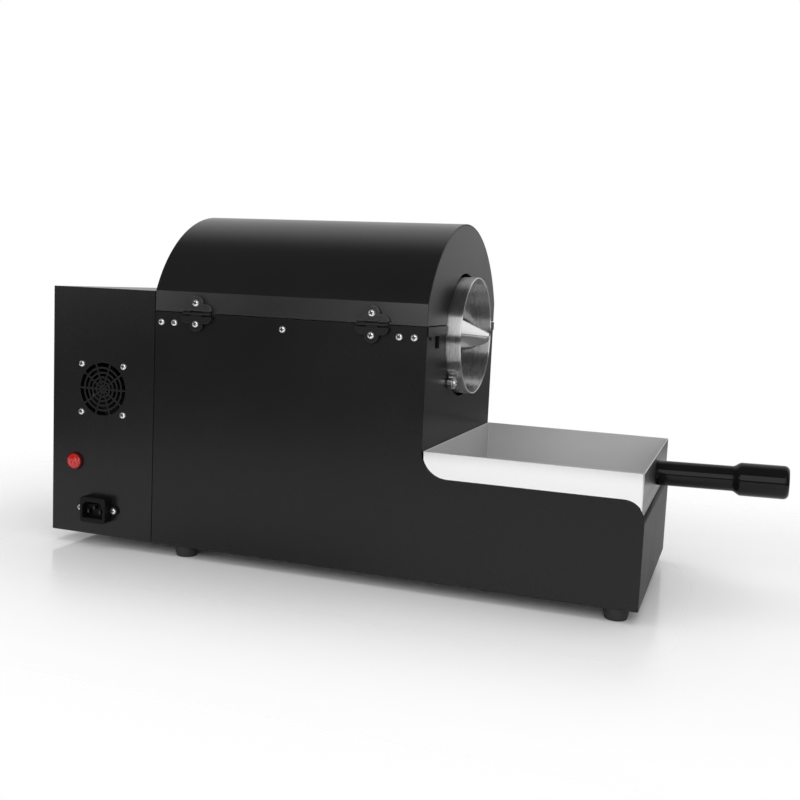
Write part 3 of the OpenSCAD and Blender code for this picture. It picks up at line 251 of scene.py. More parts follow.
def drawn_in(loop, distance):
    """A closed outline moved inwards: each point goes along the bisector of its two edges'
    normals, by distance / cos(half the angle between them)."""
    edge = np.roll(loop, -1, 0) - loop
    area = (loop[:, 0] * np.roll(loop[:, 1], -1) - np.roll(loop[:, 0], -1) * loop[:, 1]).sum()
    normal = unit(np.c_[-edge[:, 1], edge[:, 0]]) * np.sign(area)
    bisector = normal + np.roll(normal, 1, 0)
    bisector /= np.maximum((bisector ** 2).sum(1, keepdims=True) / 2, 0.3)
    return loop + bisector * distance


def slab(outline, low, high, edge, across=(0, 2, 1), holes=(), steps=3):
    """A plate: an outline and holes carried from low to high, with rims rounded by a quarter
    circle. across gives the axes that the outline's two numbers and the depth lie on."""
    a = np.linspace(0, np.pi / 2, steps + 1)
    inset = np.r_[edge * (1 - np.sin(a)), edge * (1 - np.cos(a))]
    depth = np.r_[low + edge * (1 - np.cos(a)), high - edge * (1 - np.sin(a))]
    points, faces, ends = [], [], ([], [])
    count = 0
    for number, loop in enumerate([np.asarray(outline, float), *holes]):
        rows = np.zeros((len(depth), len(loop), 3))
        shifted = np.array([drawn_in(loop, -d if number else d) for d in inset])
        rows[:, :, across[0]] = shifted[:, :, 0]
        rows[:, :, across[1]] = shifted[:, :, 1]
        rows[:, :, across[2]] = depth[:, None]
        p, f = grid(rows, round_columns=True)
        points.append(p)
        faces += [[i + count for i in q] for q in f]
        ends[0].append((shifted[0], count))
        ends[1].append((shifted[-1], count + len(p) - len(loop)))
        count += len(p)
    for end in ends:
        index = np.concatenate([np.arange(len(loop)) + first for loop, first in end])
        filled = tessellate_polygon([[(*c, 0) for c in loop] for loop, _ in end])
        faces += [[int(index[i]) for i in t] for t in filled]
    return np.vstack(points), faces


def piece(name, body, materials, parts, replaces=(), sharp=35.0):
    """Makes one mesh from parts, each of them points in millimetres, faces, and which of the
    materials they take. Points that meet are merged, and faces are turned outwards."""
    points = np.vstack([part[0] for part in parts]) / 1000
    starts = np.cumsum([0] + [len(part[0]) for part in parts])
    faces = [[i + s for i in f] for part, s in zip(parts, starts) for f in part[1]]
    data = bpy.data.meshes.new(name)
    data.from_pydata(points.tolist(), [], faces)
    which = [part[2] if len(part) > 2 else 0 for part in parts for _ in part[1]]
    data.polygons.foreach_set("material_index", which)
    shape = bmesh.new()
    shape.from_mesh(data)
    bmesh.ops.remove_doubles(shape, verts=shape.verts, dist=2e-6)
    bmesh.ops.dissolve_degenerate(shape, edges=shape.edges, dist=1e-6)
    bmesh.ops.recalc_face_normals(shape, faces=shape.faces)
    bmesh.ops.triangulate(shape, faces=[f for f in shape.faces if len(f.verts) > 4])
    shape.to_mesh(data)
    shape.free()
    data.shade_smooth()
    data.set_sharp_from_angle(angle=np.radians(sharp))
    for material in materials if isinstance(materials, list) else [materials]:
        data.materials.append(material)
    made = placed(name, data)
    made.modifiers.new("large_faces_lead", "WEIGHTED_NORMAL").keep_sharp = True
    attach(made, body)
    if replaces:
        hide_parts(*replaces)
    return made


sheet = 1.2
hinge_face, user_face = -134.5, 111.5
box_x, mouth_x, shelf_x = -243.75, 42.15, 247.15
bottom_z, cheek_z, seam_z = 12, 110, 249
panel = softened([(box_x, bottom_z), (shelf_x, bottom_z), (shelf_x, cheek_z), (mouth_x, cheek_z),
                  (mouth_x, seam_z), (box_x, seam_z)], [0.8, 0.8, 19, 25, 0.8, 0.8], 14)
piece("near_side_sheet", "cabinet", black_coat, [slab(panel, hinge_face, hinge_face + sheet, 0.5)],
      ["back_side_panel"])
piece("far_side_sheet", "cabinet", black_coat, [slab(panel, user_face - sheet, user_face, 0.5)],
      ["front_side_panel"])


# The mouth end plate: the sheet that closes the chamber's right end below the seam. Its top is
# folded to a double strip, the drum's mouth comes through a round notch, and a small slot has
# a bent ear beside it; a round stud sits near each side.
end_coat = powder_coat("end_plate_coat", 0.0075, 0.011, (0.28, 0.34), 12, 0.12)
drum_y, drum_z, notch_r = -11.5, 238.0, 62.3


def arc(radius, first, last, count, y=drum_y, z=drum_z):
    """Points of a circle round the drum's axis from one angle to another, in degrees from +Y."""
    a = np.radians(np.linspace(first, last, count))
    return np.c_[y + radius * np.cos(a), z + radius * np.sin(a)]


def notch_angle(z):
    """The angle at which the notch's circle meets a height."""
    return np.degrees(np.arcsin((z - drum_z) / notch_r))


def corners_of(x0, z0, x1, z1):
    """The corners of an upright oblong that spans x0 to x1 and z0 to z1."""
    return [(x0, z0), (x1, z0), (x1, z1), (x0, z1)]


along_x = (1, 2, 0)
fit = 0.1
near_y, far_y = hinge_face + sheet + fit, user_face - sheet - fit
cut_to = notch_angle(seam_z)
lower_plate = np.vstack([[(near_y, bottom_z + sheet), (far_y, bottom_z + sheet), (far_y, seam_z)],
                         arc(notch_r, cut_to, -180 - cut_to, 90), [(near_y, seam_z)]])
slot_low, slot_high, slot_side, ear_y = 228.5, 240, -107, -101.5
ear_slot = softened(corners_of(slot_side, slot_low, ear_y, slot_high), 0.5, 3)
roller_y, roller_z = (-59.62, 36.62), 193.12
pin_hole = [arc(2.3, 0, 345, 24, y, roller_z) for y in roller_y]
strip_z = 240
strip_from = notch_angle(strip_z)
strip_right = np.vstack([[(far_y, strip_z), (far_y, seam_z)], arc(notch_r, cut_to, strip_from, 8)])
strip_left = np.vstack([[(near_y, seam_z), (near_y, strip_z)],
                        arc(notch_r, 180 - strip_from, 180 - cut_to, 8)])
ear = softened(corners_of(mouth_x - sheet, ear_y, mouth_x + 2, ear_y + sheet), 0.3, 3)
studs = [(mouth_x, y, 238) for y in (-123.5, 100.5)]


def capped(rows, start=True):
    """A grid that is round in its columns, closed by a flat face over its last row, and over its
    first one where start is set."""
    points, faces = grid(rows, round_columns=True)
    n, around = len(points), rows.shape[1]
    return points, faces + [list(range(around))] * start + [list(range(n - around, n))]


def dome(at, radius, height, sides=24, steps=6):
    """A round head on a face that looks along +X: x rises as height x cos(t) and the radius
    shrinks as sin(t)."""
    t = np.linspace(0, np.pi / 2, steps)[:, None]
    a = np.linspace(0, 2 * np.pi, sides, endpoint=False)
    r = radius * np.sin(t)
    rows = np.stack([at[0] + height * np.cos(t) + 0 * a, at[1] + r * np.cos(a), at[2] + r * np.sin(a)], -1)
    return capped(rows, start=False)


strips = [slab(strip, mouth_x, mouth_x + sheet, 0.45, along_x) for strip in (strip_right, strip_left)]
piece("mouth_end_sheet", "cabinet", end_coat,
      [slab(lower_plate, mouth_x - sheet, mouth_x, 0.4, along_x, [ear_slot, *pin_hole]), *strips,
       slab(ear, slot_low, slot_high, 0.3, (0, 1, 2)), *(dome(at, 1.7, 1.7) for at in studs)],
      ["mouth_end_plate"])


# The tray shelf: one sheet that lies flat under the tray and turns down over a tight bend to
# make the cabinet's right end.
shelf_z = 92
shelf = softened([(mouth_x, shelf_z), (shelf_x, shelf_z), (shelf_x, bottom_z), (shelf_x - sheet, bottom_z),
                  (shelf_x - sheet, shelf_z - sheet), (mouth_x, shelf_z - sheet)],
                 [0.3, 2.5, 0.3, 0.3, 1.3, 0.3])
shelf_coat = powder_coat("shelf_coat", 0.0085, 0.013, (0.4, 0.5), 12, 0.1)
piece("tray_shelf_sheet", "cabinet", shelf_coat, [slab(shelf, near_y, far_y, 0.25)],
      ["tray_shelf"])


# The control box: a bulkhead that carries the drive, a bent cover with air slots for its left
# side and top, and two flat panels. The hinge side's panel is pierced with the fan's grille.
coat(black_coat, "motor_bulkhead", "control_box_cover", "control_front_panel")
fan_x, fan_z, grille_r, bar, spokes = -304.85, 165.5, 27.3, 2.0, 10
ring = grille_r * np.array([0.29, 0.45, 0.625, 0.81])
inner = np.r_[grille_r * 0.16, ring + bar / 2]
outer = np.r_[ring - bar / 2, grille_r]
gaps = []
for low_r, high_r in zip(inner, outer):
    clear_low, clear_high = np.arcsin(bar / 2 / low_r), np.arcsin(bar / 2 / high_r)
    near = np.linspace(clear_low, 2 * np.pi / spokes - clear_low, 7)
    far = np.linspace(2 * np.pi / spokes - clear_high, clear_high, 9)
    for spoke in range(spokes):
        a = np.r_[near, far] + spoke * 2 * np.pi / spokes
        r = np.r_[0 * near + low_r, 0 * far + high_r]
        gaps.append(np.c_[fan_x + r * np.cos(a), fan_z + r * np.sin(a)])
box_coat = powder_coat("control_panel_coat", 0.0055, 0.0085, (0.24, 0.3), 9, 0.3, 0.0002)
box_side = softened(corners_of(-365.35, bottom_z, -244.35, 269), 0.6, 4)
piece("grille_panel", "cabinet", box_coat,
      [slab(box_side, hinge_face, hinge_face + sheet, 0.4, holes=gaps)],
      ["control_back_panel"])


# Rubber feet: four moulded cups, a little narrower at the floor, each held by a screw that
# sits up in its well.
def axes_from(along):
    """An axis as a unit vector, and two unit vectors at right angles to it and to each other."""
    along = unit(np.asarray(along, float))
    side = unit(np.cross(along, (0, 0, 1) if abs(along[2]) < 0.9 else (1, 0, 0)))
    return along, side, np.cross(along, side)


def turned(profile, at, along, sides=64):
    """A profile turned round an axis through at. Each profile point is a distance along the axis
    and a radius, and the angle runs one full turn."""
    along, side, up = axes_from(along)
    a = np.linspace(0, 2 * np.pi, sides, endpoint=False)[:, None]
    spoke = np.cos(a) * side + np.sin(a) * up
    d, r = np.asarray(profile, float).T
    return grid(np.asarray(at, float) + d[None, :, None] * along + r[None, :, None] * spoke[:, None], True)


foot_rubber = finish("foot_rubber", 0.02, 0.032, rough=(0.62, 0.78), grain=1800, depth=3e-5,
                     Specular_IOR_Level=0.3)
foot = [(12, 0), (12, 11.2), (11.6, 11.8), (11, 12), (8, 11.5), (7.6, 11.1), (7.2, 11.4), (1, 10.3),
        (0.3, 10.0), (0, 9.4), (0, 4.6), (0.4, 4.1), (1, 3.9), (4.8, 3.8), (4.8, 0)]
feet_at = [(x, y) for x in (-210.35, 226.65) for y in (-120, 97)]
piece("feet", "cabinet", foot_rubber, [turned(foot, (x, y, 0), (0, 0, 1), 48) for x, y in feet_at],
      ["rubber_feet"])


# Screws: plated pan heads with a cross recess. They hold the liner's lips, the lower halves of
# the hinges, the fan, the mains inlet and the feet.
screw_plate = finish("screw_plating", (0.8, 0.8, 0.81), 0.93, 1.0, (0.26, 0.38), 300, 2500, 3e-6)
# The cross recesses take a near-black copy of the plating: painted shade in the recess.
recess_painted_shade = finish("recess_shadow", 0.07, 0.16, 1.0, (0.4, 0.6), 300, 2500, 3e-6)


def pan_head(at, along, turn=0.0, radius=3.5, height=2.2, arm=0.54, width=0.17, deep=1.5, shank=0.0,
             shank_r=1.75):
    """A screw. A square grid (u, v) becomes the disc u sqrt(1 - v2/2), v sqrt(1 - u2/2), and the
    head rises as height x (1 - r^3.4)^0.42; inside the cross |u| < arm, |v| < width, or the same
    with u and v changed over, the surface lies deeper."""
    lines = np.array([0, 0.08, width - 0.03, width + 0.03, 0.3, 0.4, arm - 0.04, arm + 0.04, 0.7, 0.82,
                      0.92, 0.96, 0.985, 1.0])
    lines = np.r_[-lines[:0:-1], lines]
    u, v = np.meshgrid(lines, lines, indexing="ij")
    x, y = u * np.sqrt(1 - v ** 2 / 2), v * np.sqrt(1 - u ** 2 / 2)
    r = np.clip(np.hypot(x, y), 0, 1)
    z = height * (1 - r ** 3.4) ** 0.42
    cross = ((abs(u) < arm) & (abs(v) < width)) | ((abs(v) < arm) & (abs(u) < width))
    z = np.where(cross, np.minimum(z, height - deep * (1 - 0.35 * r / arm)), z)
    along, side, up = axes_from(along)
    c, s = np.cos(turn), np.sin(turn)
    flat = radius * ((x * c - y * s)[..., None] * side + (x * s + y * c)[..., None] * up)
    under = np.asarray(at, float) + flat
    points, faces = grid(under + z[..., None] * along)
    centre = np.array(faces).reshape(len(lines) - 1, -1, 4)
    inside = cross[:-1, :-1] | cross[1:, 1:] | cross[1:, :-1] | cross[:-1, 1:]
    # Faces inside the cross take the second material, the painted shade of the recess.
    parts = [(points, centre[~inside].tolist(), 0), (points, centre[inside].tolist(), 1), grid(under)]
    if shank:
        stem = [(0, 0), (0, shank_r), (-shank + 0.5, shank_r), (-shank, shank_r - 0.5), (-shank, 0)]
        parts.append(turned(stem, at, along, 20))
    return parts


# Each screw has a place, a direction and a shank length, and its cross is turned on by turn_step
# from the last one's. The fan's screws are 50 mm apart, the inlet's 40 mm.
turn_step = 2.39996
liner_x, hinge_x, lip_z = (-236.15, -221.45, -102.9, 15.65, 30.35), (-195.15, -10.65), 238.7
leaf_face, flange_face = -139, -137
inlet_x, inlet_z = -308.05, 40.0
places = [((x, hinge_face, lip_z), (0, -1, 0), 6) for x in liner_x]
places += [((x, user_face, lip_z), (0, 1, 0), 6) for x in liner_x]
places += [((x, leaf_face, lip_z), (0, -1, 0), 10.5) for x in hinge_x]
places += [((fan_x + dx, hinge_face, fan_z + dz), (0, -1, 0), 11.2) for dx in (-25, 25) for dz in (-25, 25)]
places += [((inlet_x + dx, flange_face, inlet_z), (0, -1, 0), 8.5) for dx in (-20, 20)]
piece("cabinet_screw_set", "cabinet", [screw_plate, recess_painted_shade],
      [part for i, (at, along, shank) in enumerate(places)
       for part in pan_head(at, along, i * turn_step, shank=shank)], ["cabinet_screws"])
foot_well = 4.8
piece("foot_screw_set", "cabinet", [screw_plate, recess_painted_shade],
      [part for i, (x, y) in enumerate(feet_at)
       for part in pan_head((x, y, foot_well), (0, 0, -1), i * turn_step, shank=11.9)],
      ["foot_screws"])


# The chamber: a folded steel trough hung on the side panels, wrapped below in a fibre blanket.
# Two bent tube elements pass through white bushes in the bulkhead, and a probe reads the heat.
liner_steel = finish("liner_steel", (0.44, 0.43, 0.41), (0.56, 0.55, 0.53), 1.0, (0.24, 0.4), 14, 900,
                     1e-5, (0.15, 1, 1))
coat(liner_steel, "chamber_liner", "lid_liner")
fibre = finish("fibre_blanket", (0.68, 0.65, 0.58), (0.84, 0.82, 0.76), rough=(0.9, 1.0), patch=60,
               grain=700, depth=0.0005, lie=(0.3, 1, 1))
coat(fibre, "chamber_insulation", "lid_insulation")
element_tube = finish("element_tube", (0.05, 0.048, 0.045), (0.13, 0.115, 0.1), 0.7, (0.4, 0.6), 40, 1500,
                      1e-5, (0.4, 1, 1))
coat(element_tube, "heating_elements")
bush_clay = finish("bush_ceramic", (0.74, 0.72, 0.66), (0.84, 0.82, 0.76), rough=(0.45, 0.62), grain=2000)
coat(bush_clay, "element_bushes")
probe_steel = finish("probe_steel", 0.5, 0.62, 1.0, (0.22, 0.34), 60, 2500, 4e-6)
coat(probe_steel, "temperature_probe")


# The drum: a rolled stainless shell with a welded rear head, a front ring and three slanted
# vanes. It runs on a shaft at the back and on its narrow neck at the front.
drum_sheet = finish("drum_sheet", (0.4, 0.385, 0.36), (0.56, 0.55, 0.53), 1.0, (0.26, 0.4), 9, 1300,
                    1e-5, around=(drum_y, drum_z))
coat(drum_sheet, "drum_shell", "drum_rear_head", "drum_front_ring", "mixing_vanes", "drum_shaft")


# The mouth: a bright neck that stands out of the end plate, its lip rolled round, with a
# pointed scoop of the same sheet welded inside to throw the beans out.
mouth_sheet = finish("scoop_sheet", 0.42, 0.54, 1.0, (0.14, 0.24), 60, 2600, 2e-6,
                     around=(drum_y, drum_z))
mouth_brushed = finish("mouth_brushed", 0.66, 0.74, 1.0, (0.24, 0.34), 700, 2600, 8e-7,
                       around=(drum_y, drum_z), Anisotropic=1.0, Anisotropic_Rotation=0.25)
neck_in, neck_out = 57.5, 59
neck = [(17.45, neck_in), (17.45, neck_out), (30, neck_out), (42, neck_out), (55.0, neck_out),
        (55.6, 58.95), (56.05, 58.65), (56.15, 58.25), (56.05, 57.85), (55.6, 57.55),
        (55.0, neck_in), (42, neck_in), (30, neck_in), (17.45, neck_in)]
piece("mouth_neck", "drum", mouth_brushed, [turned(neck, (0, drum_y, drum_z), (1, 0, 0), 160)],
      ["drum_neck"])


def scoop(steps=40, across=41, tip_x=55.15, length=36.2, tip_r=1.6, widening=18, sheet_thick=1.4):
    """The scoop from its tip (t = 0) to its wide end. Across it, s runs from -1 to 1: the height
    is r s, the ridge stands r in from the neck's inner wall, and the sheet falls back from the
    ridge by 0.25 |s|^1.3 of r, or 0.42 below it, then turns in to the wall over the last tenth.
    The tip hangs a little, and the lower edge is a bow: its height goes as t^0.55."""
    t = np.linspace(0, 1, steps)[:, None]
    edge = np.linspace(0.93, 1, 5)
    share = np.r_[-edge[::-1], np.linspace(-0.9, 0.9, across), edge][None, :]
    sides = []
    for thick, order in ((sheet_thick, 1), (0.0, -1)):
        s = share[:, ::order]
        r = tip_r + thick + widening * t
        back = np.where(s > 0, 0.25, 0.42) * abs(s) ** 1.3
        back = np.minimum(back + 0.75 * np.clip((abs(s) - 0.91) / 0.09, 0, 1), 1)
        full = np.where(s > 0, 1, (1.2 + 16 * t ** 0.55) / (tip_r + widening * t))
        sides.append(np.stack([tip_x - length * t + 0 * s, drum_y + neck_in - 0.1 - r * (1 - back),
                               drum_z - 0.6 - 1.8 * (1 - t) + full * r * s], -1))
    return capped(np.concatenate(sides, 1))


piece("discharge_scoop", "drum", mouth_sheet, [scoop()], ["discharge_blade"])


# The rollers: small sealed ball bearings under the neck. Each turns on a screw between a shim
# on the end plate and a washer, with a nut behind the plate.
bearing_steel = finish("bearing_steel", 0.82, 0.92, 1.0, (0.08, 0.14), 300, 3000, 1e-6)
race = [(0, 2.05), (0, 3.5), (0.5, 3.7), (0.5, 5.3), (0, 5.5), (0, 6.1), (0.3, 6.45), (0.7, 6.5),
        (4.3, 6.5), (4.7, 6.45), (5, 6.1), (5, 5.5), (4.5, 5.3), (4.5, 3.7), (5, 3.5), (5, 2.05), (0, 2.05)]
shim = [(mouth_x, 0), (mouth_x, 3.5), (42.65, 3.5), (42.65, 0)]
washer = [(48.25, 0), (48.25, 5.4), (48.4, 5.75), (49.1, 5.75), (49.25, 5.4), (49.25, 0)]
nut_x = 37.75
stem = [(nut_x, 0), (nut_x, 1.98), (48.6, 1.98), (48.6, 0)]
bolt_parts = []
for side, y in zip(("back", "front"), roller_y):
    piece(f"roller_bearing_{side}", f"roller_at_{side}", bearing_steel,
          [turned(race, (42.95, y, roller_z), (1, 0, 0), 48)], [f"{side}_roller"])
    nut = slab(arc(4.05, 0, 300, 6, y, roller_z), nut_x, mouth_x - sheet, 0.35, along_x)
    bolt_parts += [turned(profile, (0, y, roller_z), (1, 0, 0), sides)
                   for profile, sides in ((shim, 32), (washer, 48), (stem, 32))]
    bolt_parts += [nut, *pan_head((washer[-1][0], y, roller_z), (1, 0, 0), 0.4)]
piece("roller_bolt_set", "cabinet", [bearing_steel, recess_painted_shade], bolt_parts,
      ["roller_bolts"])


# The drive in the control box: a flanged bearing on the bulkhead, a sleeve that joins the
# shafts, and a round geared motor on a bent bracket, all bolted through the bulkhead.
cast_alloy = finish("cast_alloy", (0.42, 0.42, 0.43), (0.54, 0.54, 0.55), 1.0, (0.42, 0.58), 90, 1800,
                    3e-5)
coat(cast_alloy, "shaft_bearing", "gearbox_case")
plain_steel = finish("plain_steel", 0.46, 0.58, 1.0, (0.3, 0.42), 40, 1500, 1e-5)
coat(plain_steel, "shaft_coupling", "motor_shaft", "motor_bracket")
can_steel = finish("motor_can_steel", (0.3, 0.3, 0.31), (0.4, 0.4, 0.41), 1.0, (0.3, 0.45), 30, 1800,
                   8e-6)
coat(can_steel, "motor_case", "thermostat_body")
coat(screw_plate, "bulkhead_bolts")


# The cooling fan: a black moulded frame with a seven-blade wheel, screwed behind the grille.
black_moulding = finish("black_moulding", 0.0035, 0.006, rough=(0.42, 0.56), patch=40, grain=2200,
                        depth=1e-5, blue=0.0005, Specular_IOR_Level=0.14)
coat(black_moulding, "fan_frame")


def fan_blade(lead, rows=9, count=15, root_r=11.5, tip_r=26.4, middle_y=-124.8, camber=1.6):
    """A blade from the hub to the tip. Round each section, s runs along a chord that leans from
    the intake to the outlet; the sheet bulges by camber x 4 s (1 - s), the half thickness is
    0.25 + 2 sqrt(s) (1 - s), and the chord turns forward as the radius grows."""
    r = np.linspace(root_r, tip_r, rows)[:, None]
    s = np.linspace(0, 1, count)
    s = np.r_[s, s[-2:0:-1]][None, :]
    side = np.r_[np.ones(count), -np.ones(count - 2)][None, :]
    width = 9 + 0.35 * (r - root_r)
    run = (s - 0.5) * width + 0.02 * (r - root_r) ** 2
    thick = side * (0.25 + 2 * np.sqrt(s) * (1 - s)) * (0 < s) * (s < 1)
    y = middle_y + (s - 0.5) * 11 + camber * 4 * s * (1 - s) + thick + 0 * r
    a = lead + run / r
    return capped(np.stack([fan_x + r * np.cos(a), y, fan_z + r * np.sin(a)], -1))


hub = [(-131.8, 0), (-131.8, 10.8), (-131.4, 11.6), (-130.6, 12), (-117.8, 12), (-117.8, 1.5),
       (-113.4, 1.5), (-113.4, 0)]
blades, lead_at_rest = 7, 0.42
wheel = [fan_blade((i + lead_at_rest) * 2 * np.pi / blades) for i in range(blades)]
piece("fan_wheel_moulding", "fan_wheel", black_moulding,
      [turned(hub, (fan_x, 0, fan_z), (0, 1, 0), 48), *wheel], ["fan_impeller"])


# The mains inlet: a black moulded socket with three flat pins. Its flange is held by two screws
# and its shroud stands out of the panel; the body behind it goes through the cut-out.
def about(x, z, corners, radii, steps=5):
    """A rounded outline given by its corners' distances from a centre."""
    return softened([(x + cx, z + cz) for cx, cz in corners], radii, steps)


def oblong(w, h):
    """The four corners of a w by h oblong about its middle."""
    return corners_of(-w / 2, -h / 2, w / 2, h / 2)


shroud_y, well_y, tail_y = -145.5, -129.5, -115.3
well = about(inlet_x, inlet_z,
             [(-12.2, -8.2), (12.2, -8.2), (12.2, 4.2), (8.2, 8.2), (-8.2, 8.2), (-12.2, 4.2)], 1.0)
core = about(inlet_x, inlet_z, oblong(27, 20), 0.6)
piece("mains_socket", "cabinet", black_moulding,
      [slab(about(inlet_x, inlet_z, oblong(31, 27), 4), shroud_y, hinge_face, 0.9, holes=[well]),
       slab(about(inlet_x, inlet_z, oblong(50, 10), 4.9, 8), flange_face, hinge_face, 0.5),
       slab(core, hinge_face, well_y, 0.2, holes=[well]), slab(core, well_y, tail_y, 0.4)],
      ["power_inlet"])
# The pins are coloured near black: painted shade for the inside of the socket's well.
pin_shade_paint = finish("pin_painted_shade", (0.05, 0.047, 0.043), (0.075, 0.071, 0.065), 1.0, (0.4, 0.5), 400, 2500,
                  4e-6)
piece("socket_pins", "cabinet", pin_shade_paint,
      [slab(about(inlet_x + dx, inlet_z + dz, oblong(2, 4), 0.4, 3), shroud_y + 3, well_y, 0.45)
       for dx, dz in ((-7, -2), (0, 2), (7, -2))], ["inlet_pins"])


# The pilot lamp: a faceted red lens in a dark red rim, on a barrel held by a nut behind.
rim_red = finish("lamp_rim_red", (0.05, 0.002, 0.002), (0.08, 0.003, 0.003), rough=(0.16, 0.24), grain=2000,
                 depth=3e-6, Specular_IOR_Level=0.3)
lamp = (-337.35, hinge_face, 87.6)
barrel = [(-24, 0), (-24, 7.1), (-23.6, 7.5), (0, 7.5), (0, 9.4), (1.6, 9.4), (2.5, 9.1), (3, 8.6),
          (3, 8.2), (2.7, 7.95), (1.2, 7.9), (1.2, 0)]
lamp_nut = about(lamp[0], lamp[2], arc(10.3, 0, 300, 6, 0, 0), 0.4, 3)
piece("lamp_rim", "cabinet", rim_red,
      [turned(barrel, lamp, (0, -1, 0), 64), slab(lamp_nut, hinge_face + sheet, -129.3, 0.5)],
      ["pilot_lamp_body"])
lens_red = finish("lens_red", (0.33, 0.006, 0.005), (0.5, 0.016, 0.011), rough=(0.06, 0.14), patch=250,
                  grain=2000, depth=3e-6, Coat_Weight=0.25, Coat_Roughness=0.05)


def lens(rings=5, sides=12, rim_r=7.85, crown_out=5.2, sunk=0.6):
    """A dome cut into facets: the height falls as crown_out - 0.04 r squared, each ring is turned
    by half a step from the last, and every other ring is sunk a little."""
    k = np.arange(rings + 1)[:, None]
    r = rim_r * k / rings
    a = (np.arange(sides)[None, :] + 0.5 * (k % 2)) * 2 * np.pi / sides
    out = crown_out - 0.04 * r ** 2 - sunk * (k % 2) * (k < rings)
    top = np.stack([lamp[0] + r * np.cos(a), lamp[1] - out + 0 * a, lamp[2] + r * np.sin(a)], -1)
    base = top[-1:] * (1, 0, 1) + (0, lamp[1] - 1.3, 0)
    points, faces = grid(np.concatenate([top, base]), round_columns=True)
    split = [t for q in faces for t in ((q[0], q[1], q[2]), (q[0], q[2], q[3]))]
    return points, split + [list(range(len(points) - sides, len(points)))]


piece("lamp_lens", "cabinet", lens_red, [lens()], ["pilot_lens"], sharp=4)


# The terminal block on the base plate and the timer's body: plain pale mouldings.
pale_moulding = finish("pale_moulding", (0.68, 0.67, 0.61), (0.78, 0.77, 0.71), rough=(0.42, 0.58),
                       grain=2000)
coat(pale_moulding, "terminal_block", "timer_body")


# The knobs on the operator's side: black mouldings with a skirt, a raised grip bar and a white
# pointer. Each turns over a printed ring of plain numbers.
knob_x, heat_z, timer_z = -304.85, 212.0, 149.5
print_white = finish("print_white", (0.72, 0.72, 0.7), (0.8, 0.8, 0.78), rough=(0.4, 0.5), grain=1500,
                     depth=4e-6)
knob_black = finish("knob_black", 0.01, 0.015, rough=(0.25, 0.34), patch=60, grain=2200, depth=6e-6,
                    blue=0.0005, Specular_IOR_Level=0.35)
skirt = [(-12, 0), (-12, 3), (0.3, 3), (0.3, 18.6), (0.7, 19), (2.4, 19), (3.3, 18.4), (4.6, 15.6),
         (5.4, 14.6), (6.6, 14.3), (6.6, 0)]
grip = softened([(-18.4, 0), (18.4, 0), (18.2, 6), (15.5, 19.7), (-15.5, 19.7), (-18.2, 6)],
                [0.4, 0.4, 3, 2, 2, 3])
for use, z in (("heat", heat_z), ("timer", timer_z)):
    bar_grip = slab(grip[:, ::-1] + (user_face + 0.3, z), knob_x - 5.4, knob_x + 5.4, 1.6, along_x, steps=4)
    pointer = slab(about(knob_x, z + 9.5, oblong(1.4, 11), 0.3, 3), 131.2, 131.5, 0.1)
    piece(f"{use}_knob_moulding", f"{use}_control", [knob_black, print_white],
          [turned(skirt, (knob_x, user_face, z), (0, 1, 0), 96), bar_grip, (*pointer, 1)],
          [f"{use}_knob"])


def printed(name, text, x, z, height):
    """A number printed on the operator's side, read from in front of it: x runs from right to left
    there. The height is in metres."""
    line = bpy.data.curves.new(name, "FONT")
    line.body = text
    line.size = height
    line.align_x, line.align_y = "CENTER", "CENTER"
    line.extrude = 3e-5
    shape = placed(name, line)
    bpy.context.view_layer.update()
    data = bpy.data.meshes.new_from_object(shape.evaluated_get(bpy.context.evaluated_depsgraph_get()))
    bpy.data.objects.remove(shape)
    flat = np.zeros(len(data.vertices) * 3)
    data.vertices.foreach_get("co", flat)
    flat = flat.reshape(-1, 3)
    points = np.c_[x - flat[:, 0] * 1000, user_face + 0.03 + flat[:, 2] * 1000, z + flat[:, 1] * 1000]
    faces = [list(p.vertices) for p in data.polygons]
    bpy.data.meshes.remove(data)
    return points, faces


# A tick stands every 10 degrees over the knob's 300, a longer one and a number every 60.
ring_from, ring_to, long_to, half_tick, number_r = 20.6, 22.6, 24.0, 0.25, 27.6
marks = []
for z, step in ((heat_z, 50), (timer_z, 5)):
    for i in range(31):
        a = np.radians(90 - i * 10)
        u, v = np.array([np.cos(a), np.sin(a)]), np.array([-np.sin(a), np.cos(a)]) * half_tick
        low_end, high_end = u * ring_from, u * (ring_to if i % 6 else long_to)
        tick = np.array([low_end - v, high_end - v, high_end + v, low_end + v])
        marks.append(slab(tick * (-1, 1) + (knob_x, z), user_face, user_face + 0.06, 0.01, steps=1))
    for i in range(6):
        a = np.radians(90 - i * 60)
        across, up = number_r * np.cos(a), number_r * np.sin(a)
        marks.append(printed("number", str(i * step), knob_x - across, z + up, 0.0052))
piece("dial_print", "cabinet", print_white, marks)


# The drum's direction switch: a three-way rocker in a bezel that snaps into the panel.
switch_z, tail_end, tail_wall = 87.0, 90.3, 100.3
bezel = about(knob_x, switch_z, oblong(25, 40), 3)
opening = about(knob_x, switch_z, oblong(13.6, 28.6), 0.5)
tail = about(knob_x, switch_z, oblong(18.7, 33.7), 0.5)
piece("rocker_bezel", "cabinet", knob_black,
      [slab(bezel, user_face, user_face + 2, 0.6, holes=[opening]),
       slab(tail, tail_wall, user_face, 0.2, holes=[opening]), slab(tail, tail_end, tail_wall, 0.3)],
      ["rocker_frame"])
